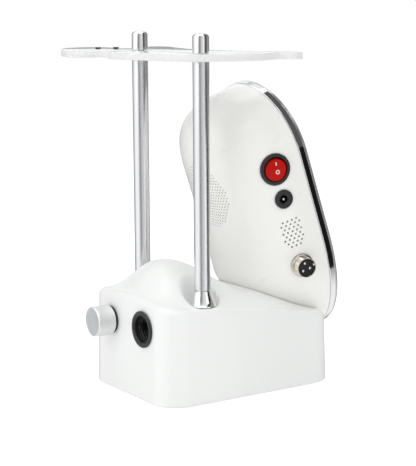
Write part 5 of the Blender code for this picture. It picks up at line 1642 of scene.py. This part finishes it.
@dataclass
class PostsAndTray(Assembly):
    """The two aluminium posts with polished cones and caps, and the clear tray on them."""

    housing: BaseHousing
    radius: float = 0.006
    cone_radius: float = 0.01015
    spigot: float = 0.004
    stud: float = 0.003
    pin_radius: float = 0.0016
    edge_inset: float = 0.00025

    def build(self) -> None:
        """Both posts, then the tray."""
        _, _, self.tray_low, self.tray_high = stand("tray")
        for place in ("left", "right"):
            self.add_post(place)
            self.add_cone(place)
            self.add_cap(place)
        self.add_tray()
        for number in (1, 2):
            self.add_stop(number)

    def add_post(self, place: str) -> None:
        """One satin tube with its threaded ends.

        Args:
            place: left or right.
        """
        start = stand("post_foot_" + place)[3] + GAP
        at, _, low, high = stand("post_" + place)
        neck, end = self.radius - 0.0006, self.tray_low - GAP
        points = [(0.0, low), (self.spigot, low, 0.0004), (self.spigot, start), (neck, start)]
        points += [(neck, start + 0.0005), (self.radius, start + 0.0005, 0.0003)]
        points += [(self.radius, end, 0.0003), (self.stud, end)]
        points += [(self.stud, high, 0.0004), (0.0, high)]
        tube = turned(points)
        self.add("tube_" + place, tube, "post_satin", Slot.ALUMINIUM, at, "post_" + place)

    def add_cone(self, place: str) -> None:
        """The polished foot: a rim, a hollow flank and a collar under the tube.

        Args:
            place: left or right.
        """
        _, _, low, high = stand("post_foot_" + place)
        bore, foot, neck = self.spigot + GAP, self.cone_radius, self.radius + 0.0002
        start = foot - 0.0003
        points = [(bore, low), (foot - 0.0004, low), (foot, low + 0.0004), (foot, low + 0.0010)]
        flank = high - 0.0011 - (low + 0.0014)
        for step in range(13):
            share = step / 12
            out = start + (neck - foot + 0.0003) * share**0.82
            points.append((out, low + 0.0014 + flank * share))
        points += [(neck, high - 0.0007), (neck - 0.0002, high), (bore, high)]
        name, node, at = "cone_" + place, "post_foot_" + place, stand("post_" + place)[0]
        self.add(name, lathe(points), "bright_chrome", Slot.CHROME, at, node)

    def add_cap(self, place: str) -> None:
        """The polished cap nut with a softly domed top.

        Args:
            place: left or right.
        """
        _, _, low, high = stand("post_cap_" + place)
        bore, depth, dome = self.stud + GAP, 0.010, 0.0030
        points = [(0.0, low + depth), (bore, low + depth), (bore, low)]
        points += [(self.radius - 0.0003, low), (self.radius, low + 0.0003)]
        for step in range(11):
            angle = step * math.pi / 2 / 10
            out = self.radius - dome + dome * math.cos(angle)
            points.append((out, high - 0.0026 + 0.0022 * math.sin(angle)))
        points += [(0.0016, high - 0.0001), (0.0, high)]
        name, node, at = "cap_" + place, "post_cap_" + place, stand("post_" + place)[0]
        self.add(name, lathe(points), "cap_chrome", Slot.CHROME, at, node)

    def edge_points(self) -> list[tuple[float, float]]:
        """The tray's edge.

        Returns:
            Points from rows of a share of the way to a post, a distance on, and one behind it.
        """
        rows = (
            (-1, -0.0126, 0.0083), (-1, -0.0216, -0.0137), (-1, -0.0241, -0.0357),
            (-1, -0.0176, -0.0487), (-1, -0.0151, -0.0587), (-1, -0.0236, -0.0657),
            (-1, -0.0231, -0.0732), (-1, -0.0096, -0.0697), (-0.66, 0, -0.0567),
            (0, 0, -0.0467), (0.8, 0, -0.0427), (1, 0.0236, -0.0487), (1, 0.0496, -0.0557),
            (1, 0.0596, -0.0477), (1, 0.0506, -0.0327), (1, 0.0396, -0.0207),
            (1, 0.0476, -0.0097), (1, 0.0696, -0.0097), (1, 0.0836, 0.0023),
            (1, 0.0786, 0.0223), (1, 0.0576, 0.0373), (1, 0.0336, 0.0443), (1, 0.0176, 0.0403),
            (1, 0.0106, 0.0273), (1, -0.0004, 0.0233), (0.78, 0, 0.0333), (0.14, 0, 0.0323),
            (-0.61, 0, 0.0233), (-1, -0.0026, 0.0173),
        )
        post_x, post_y = self.housing.post_x, self.housing.post_y
        return [(share * post_x + on, post_y + behind) for share, on, behind in rows]

    def add_tray(self) -> None:
        """The clear sheet with polished rims and a slightly frosted cut edge."""
        low, high = self.tray_low, self.tray_high
        loop = grown(smooth_loop(self.edge_points(), 10), -self.edge_inset)
        tray = Solid(slab(loop, low, high, 0.0004))
        holes = bmesh.new()
        stud, pin = self.stud + GAP, self.pin_radius + GAP
        for node, radius, steps in (
            ("post_left", stud, 48), ("post_right", stud, 48),
            ("tray_pin_1", pin, 32), ("tray_pin_2", pin, 32),
        ):
            centre = stand(node)[0].translation
            drum(radius, low - 0.01, high + 0.01, steps, centre, holes)
        tray.cut(holes)
        bm = tray.take()
        for part in bm.faces:
            part.material_index = 1 if abs(part.normal.z) < 0.5 else 0
        finishes = ("tray_clear", "tray_edge")
        self.add("tray_sheet", bm, finishes, Slot.ACRYLIC, node="tray")

    def add_stop(self, number: int) -> None:
        """One of the tray's two dark pins, with a flat round head.

        Args:
            number: 1 or 2.
        """
        node = f"tray_pin_{number}"
        at, head, low, high = stand(node)
        tall, shank = high - low, self.pin_radius
        points = [(0.0, 0.0), (shank, 0.0, 0.0003), (shank, tall - 0.0010)]
        points += [(head, tall - 0.0010, 0.0001), (head, tall, 0.0006), (0.0, tall)]
        name = f"tray_stop_{number}"
        at = at @ raised(low)
        self.add(name, turned(points, 48), "black_fitting", Slot.BLACK, at, node)


# ---------------------------------------------------------------- carried-over CAD nodes
@dataclass
class InnerWorks:
    """The CAD nodes that stay as they are, inside or under the unit, in their finishes."""

    finishes: dict[str, str] = field(
        default_factory=lambda: {
            "plate_grey": "base_plate",
            "zinc": "post_washer_left post_washer_right post_nut_left post_nut_right"
            " encoder_nut encoder_body aviation_nut neck_tube neck_nut",
            "copper": "encoder_shaft transformer",
            "black_fitting": "socket_nut fan_frame fan_impeller",
            "board": "control_board driver_board",
            "backing": "display_module speaker heat_sink",
            "sleeve": "wiring_loom",
        }
    )

    def dress(self) -> None:
        """Gives each node its finish."""
        for finish, nodes in self.finishes.items():
            for node in nodes.split():
                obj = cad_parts[node]
                if not obj.material_slots:
                    obj.data.materials.append(PALETTE[finish])
                for slot in obj.material_slots:
                    slot.material = PALETTE[finish]
                LOG.info("%s: dressed in %s", node, finish)


# ---------------------------------------------------------------- studio
@dataclass
class Studio:
    """A white floor, soft light from all round, dark cards for the metal, and the camera."""

    eye: Vector = field(default_factory=lambda: Vector((-0.90939, 0.60027, 0.29746)))
    forward: Vector = field(default_factory=lambda: Vector((0.82419, -0.54160, -0.16545)))
    roll: float = math.radians(-0.37)
    lens: float = 111.682661
    sensor: float = 36.0
    floor_half: float = 3.0
    sky: float = 0.70  # even light on matt surfaces
    floor_glow: float = 0.14  # what the floor adds to the light that falls on it
    floor_lift: float = 0.40  # the same, as the camera sees it
    # Brightness round the horizon that metal reflects: angle from the camera's side, to its right.
    bands: tuple[tuple[float, float], ...] = (
        (-180, 0.22), (-130, 0.26), (-120, 0.80), (-102, 0.80), (-90, 1.25), (-36, 1.12),
        (-27, 0.36), (-6, 0.26), (4, 0.65), (38, 0.85), (46, 1.25), (66, 1.20),
        (76, 0.34), (130, 0.28), (180, 0.26),
    )
    band_top: float = 2.0  # the brightness that stands for 1 in the ramp
    ends_light: tuple[float, ...] = (0.48, 0.485, 0.49, 1.0)  # above, below and far ahead
    above: tuple[float, float] = (0.45, 0.80)
    below: tuple[float, float] = (-0.42, -0.62)
    ahead: tuple[float, float] = (-0.70, -0.88)
    over_horizon: tuple[float, float] = (0.01, 0.07)
    card_x: tuple[float, float] = (-0.217, 0.020)
    card_y: tuple[float, float] = (-0.215, -0.020)
    dark_y: tuple[float, float] = (-0.290, -0.095)
    card_z: tuple[float, float, float] = (-0.05, 0.183, 0.42)

    def build(self) -> None:
        """Camera first, then the floor, the light and the cards."""
        self.add_camera()
        self.add_floor()
        self.add_world()
        self.add_softboxes()
        self.add_cards()

    @staticmethod
    def link(name: str, data: bpy.types.ID) -> bpy.types.Object:
        """Puts an object in the scene.

        Args:
            name: Its name.
            data: Its mesh, light or camera.

        Returns:
            The object.
        """
        obj = bpy.data.objects.new(name, data)
        bpy.context.scene.collection.objects.link(obj)
        return obj

    def panel(
        self, name: str, corners: Sequence[Sequence[float]], sheet: Sheet
    ) -> bpy.types.Object:
        """A flat four-sided stage piece.

        Args:
            name: Its name.
            corners: Its corners, in order.
            sheet: Its material's sheet.

        Returns:
            The object.
        """
        mesh = bpy.data.meshes.new(name)
        mesh.from_pydata(corners, [], [(0, 1, 2, 3)])
        mesh.materials.append(sheet.material)
        obj = self.link(name, mesh)
        return obj

    def add_camera(self) -> None:
        """The camera, behind the unit and to its left."""
        data = bpy.data.cameras.new("camera")
        data.sensor_width = self.sensor
        data.lens = self.lens
        data.clip_start = 0.05
        data.clip_end = 50.0
        right = self.forward.cross(UP).normalized()
        up = right.cross(self.forward).normalized()
        right = right * math.cos(self.roll) + up * math.sin(self.roll)
        up = right.cross(self.forward).normalized()
        axes = Matrix((right, up, -self.forward.normalized())).transposed()
        camera = self.link("camera", data)
        camera.matrix_world = Matrix.Translation(self.eye) @ axes.to_4x4()
        bpy.context.scene.camera = camera

    def add_floor(self) -> None:
        """A plain white sweep. Metal doesn't see it: the world's lower half stands for it."""
        sheet = Sheet(
            "floor_white",
            Base_Color=(0.92, 0.92, 0.92),
            Roughness=1.0,
            Specular_IOR_Level=0.0,
            Emission_Color=WHITE,
        )
        ray = add_node(sheet.tree, "LightPath", {}).outputs["Is Camera Ray"]
        inputs = {"To Min": self.floor_glow, "To Max": self.floor_lift, "Value": ray}
        lift = add_node(sheet.tree, "MapRange", inputs).outputs["Result"]
        sheet.tree.links.new(lift, sheet.shader.inputs["Emission Strength"])
        half = self.floor_half
        corners = ((-half, -half, 0.0), (half, -half, 0.0), (half, half, 0.0), (-half, half, 0.0))
        self.panel("floor", corners, sheet).visible_glossy = False

    def add_world(self) -> None:
        """Even white light, with brighter and darker bands that only glossy surfaces see."""
        world = bpy.data.worlds.new("studio")
        bpy.context.scene.world = world
        world.use_nodes = True
        world.cycles.sampling_method = "NONE"
        tree = world.node_tree
        white = (*WHITE, 1.0)
        even = tree.nodes["Background"]
        even.inputs["Color"].default_value = white
        even.inputs["Strength"].default_value = 1.0
        sky = add_node(tree, "Background", {"Color": white, "Strength": self.sky})
        place = add_node(tree, "TexCoord", {}).outputs["Generated"]
        towards = (0.0, 0.0, -math.atan2(self.eye.y, self.eye.x))
        turned = add_node(tree, "Mapping", {"Rotation": towards, "Vector": place})
        turned = turned.outputs["Vector"]
        around = add_node(tree, "TexGradient", {"Vector": turned}, gradient_type="RADIAL")
        ramp = add_node(tree, "ValToRGB", {"Fac": around.outputs["Fac"]})
        stops = ramp.color_ramp.elements
        for index, (angle, light) in enumerate(self.bands):
            share = (angle + 180) / 360
            stop = stops[index] if index < 2 else stops.new(share)
            stop.position = share
            stop.color = (*(light / self.band_top,) * 3, 1.0)
        height = add_node(tree, "SeparateXYZ", {"Vector": place}).outputs["Z"]
        heading = add_node(tree, "SeparateXYZ", {"Vector": turned}).outputs["X"]
        ends = self.both(tree, "MAXIMUM", (height, self.above), (height, self.below))
        onward = self.both(tree, "MULTIPLY", (heading, self.ahead), (height, self.over_horizon))
        bright = add_node(tree, "Math", {0: ends, 1: onward}, operation="MAXIMUM")
        inputs = {"Factor": bright.outputs[0], "A": ramp.outputs["Color"], "B": self.ends_light}
        mixed = add_node(tree, "Mix", inputs, data_type="RGBA").outputs["Result"]
        banded = add_node(tree, "Background", {"Color": mixed, "Strength": self.band_top})
        ray = add_node(tree, "LightPath", {})
        inputs = {"Fac": ray.outputs["Is Diffuse Ray"], 1: even.outputs[0], 2: sky.outputs[0]}
        matt = add_node(tree, "MixShader", inputs).outputs["Shader"]
        inputs = {"Fac": ray.outputs["Is Glossy Ray"], 1: matt, 2: banded.outputs[0]}
        choose = add_node(tree, "MixShader", inputs)
        tree.links.new(choose.outputs["Shader"], tree.nodes["World Output"].inputs["Surface"])

    @staticmethod
    def both(tree: bpy.types.NodeTree, operation: str, *parts: tuple) -> Socket:
        """Two smooth changes from 0 to 1, worked together.

        Args:
            tree: The world's tree.
            operation: How they are worked together.
            parts: For each, the value that it follows, and where it starts and ends.

        Returns:
            The result.
        """
        changes = {}
        for index, (value, (start, end)) in enumerate(parts):
            inputs = {"From Min": start, "From Max": end, "Value": value}
            node = add_node(tree, "MapRange", inputs, interpolation_type="SMOOTHSTEP")
            changes[index] = node.outputs["Result"]
        return add_node(tree, "Math", changes, operation=operation).outputs["Value"]

    def add_softboxes(self) -> None:
        """A large soft light above and one to the left of the camera."""
        for name, place, side, power in (
            ("softbox_top", Vector((-0.1, 0.1, 1.5)), 1.6, 10.0),
            ("softbox_left", Vector((-0.2, 1.6, 0.9)), 1.2, 4.0),
        ):
            data = bpy.data.lights.new(name, "AREA")
            data.shape = "SQUARE"
            data.size = side
            data.energy = power
            turn = (Vector((0.0, 0.0, 0.1)) - place).to_track_quat("-Z", "Y").to_matrix()
            self.link(name, data).matrix_world = Matrix.Translation(place) @ turn.to_4x4()

    def add_cards(self) -> None:
        """Dark cards beside and over the rim, seen only in gloss."""
        (left, right), (far, near), (low, middle, high) = self.card_x, self.card_y, self.card_z
        back, front = self.dark_y
        for name, light, ends in (
            ("card_black", 0.010, ((left, back, low), (left, front, middle))),
            ("card_grey", 0.10, ((left, far, middle), (left, near, high))),
            ("card_over", 0.10, ((left, far, high), (right, near, high))),
        ):
            (x0, y0, z0), (x1, y1, z1) = ends
            sheet = Sheet(
                name,
                Base_Color=BLACK,
                Roughness=1.0,
                Specular_IOR_Level=0.0,
                Emission_Color=WHITE,
                Emission_Strength=light,
            )
            second, fourth = (x0, y1, z0), (x0, y0, z1)
            if z0 == z1:
                second, fourth = (x1, y0, z0), (x0, y1, z1)
            card = self.panel(name, (ends[0], second, ends[1], fourth), sheet)
            card.visible_camera = False
            card.visible_diffuse = False
            card.visible_transmission = False
            card.visible_shadow = False


def main() -> None:
    """Builds the studio and every sub-assembly, in order."""
    logging.basicConfig(level=logging.INFO, format="%(message)s")
    bpy.context.scene.view_settings.view_transform = "Standard"
    Studio().build()
    console = Console()
    fittings = (RockerSwitch(console), PowerJack(console), RoundConnector(console))
    console.build(fittings)
    for fitting in fittings:
        fitting.build()
    housing = BaseHousing(console)
    for assembly in (housing, OutputKnob(housing), HandpieceSocket(housing), PostsAndTray(housing)):
        assembly.build()
    InnerWorks().dress()


if __name__ == "__main__":
    main()
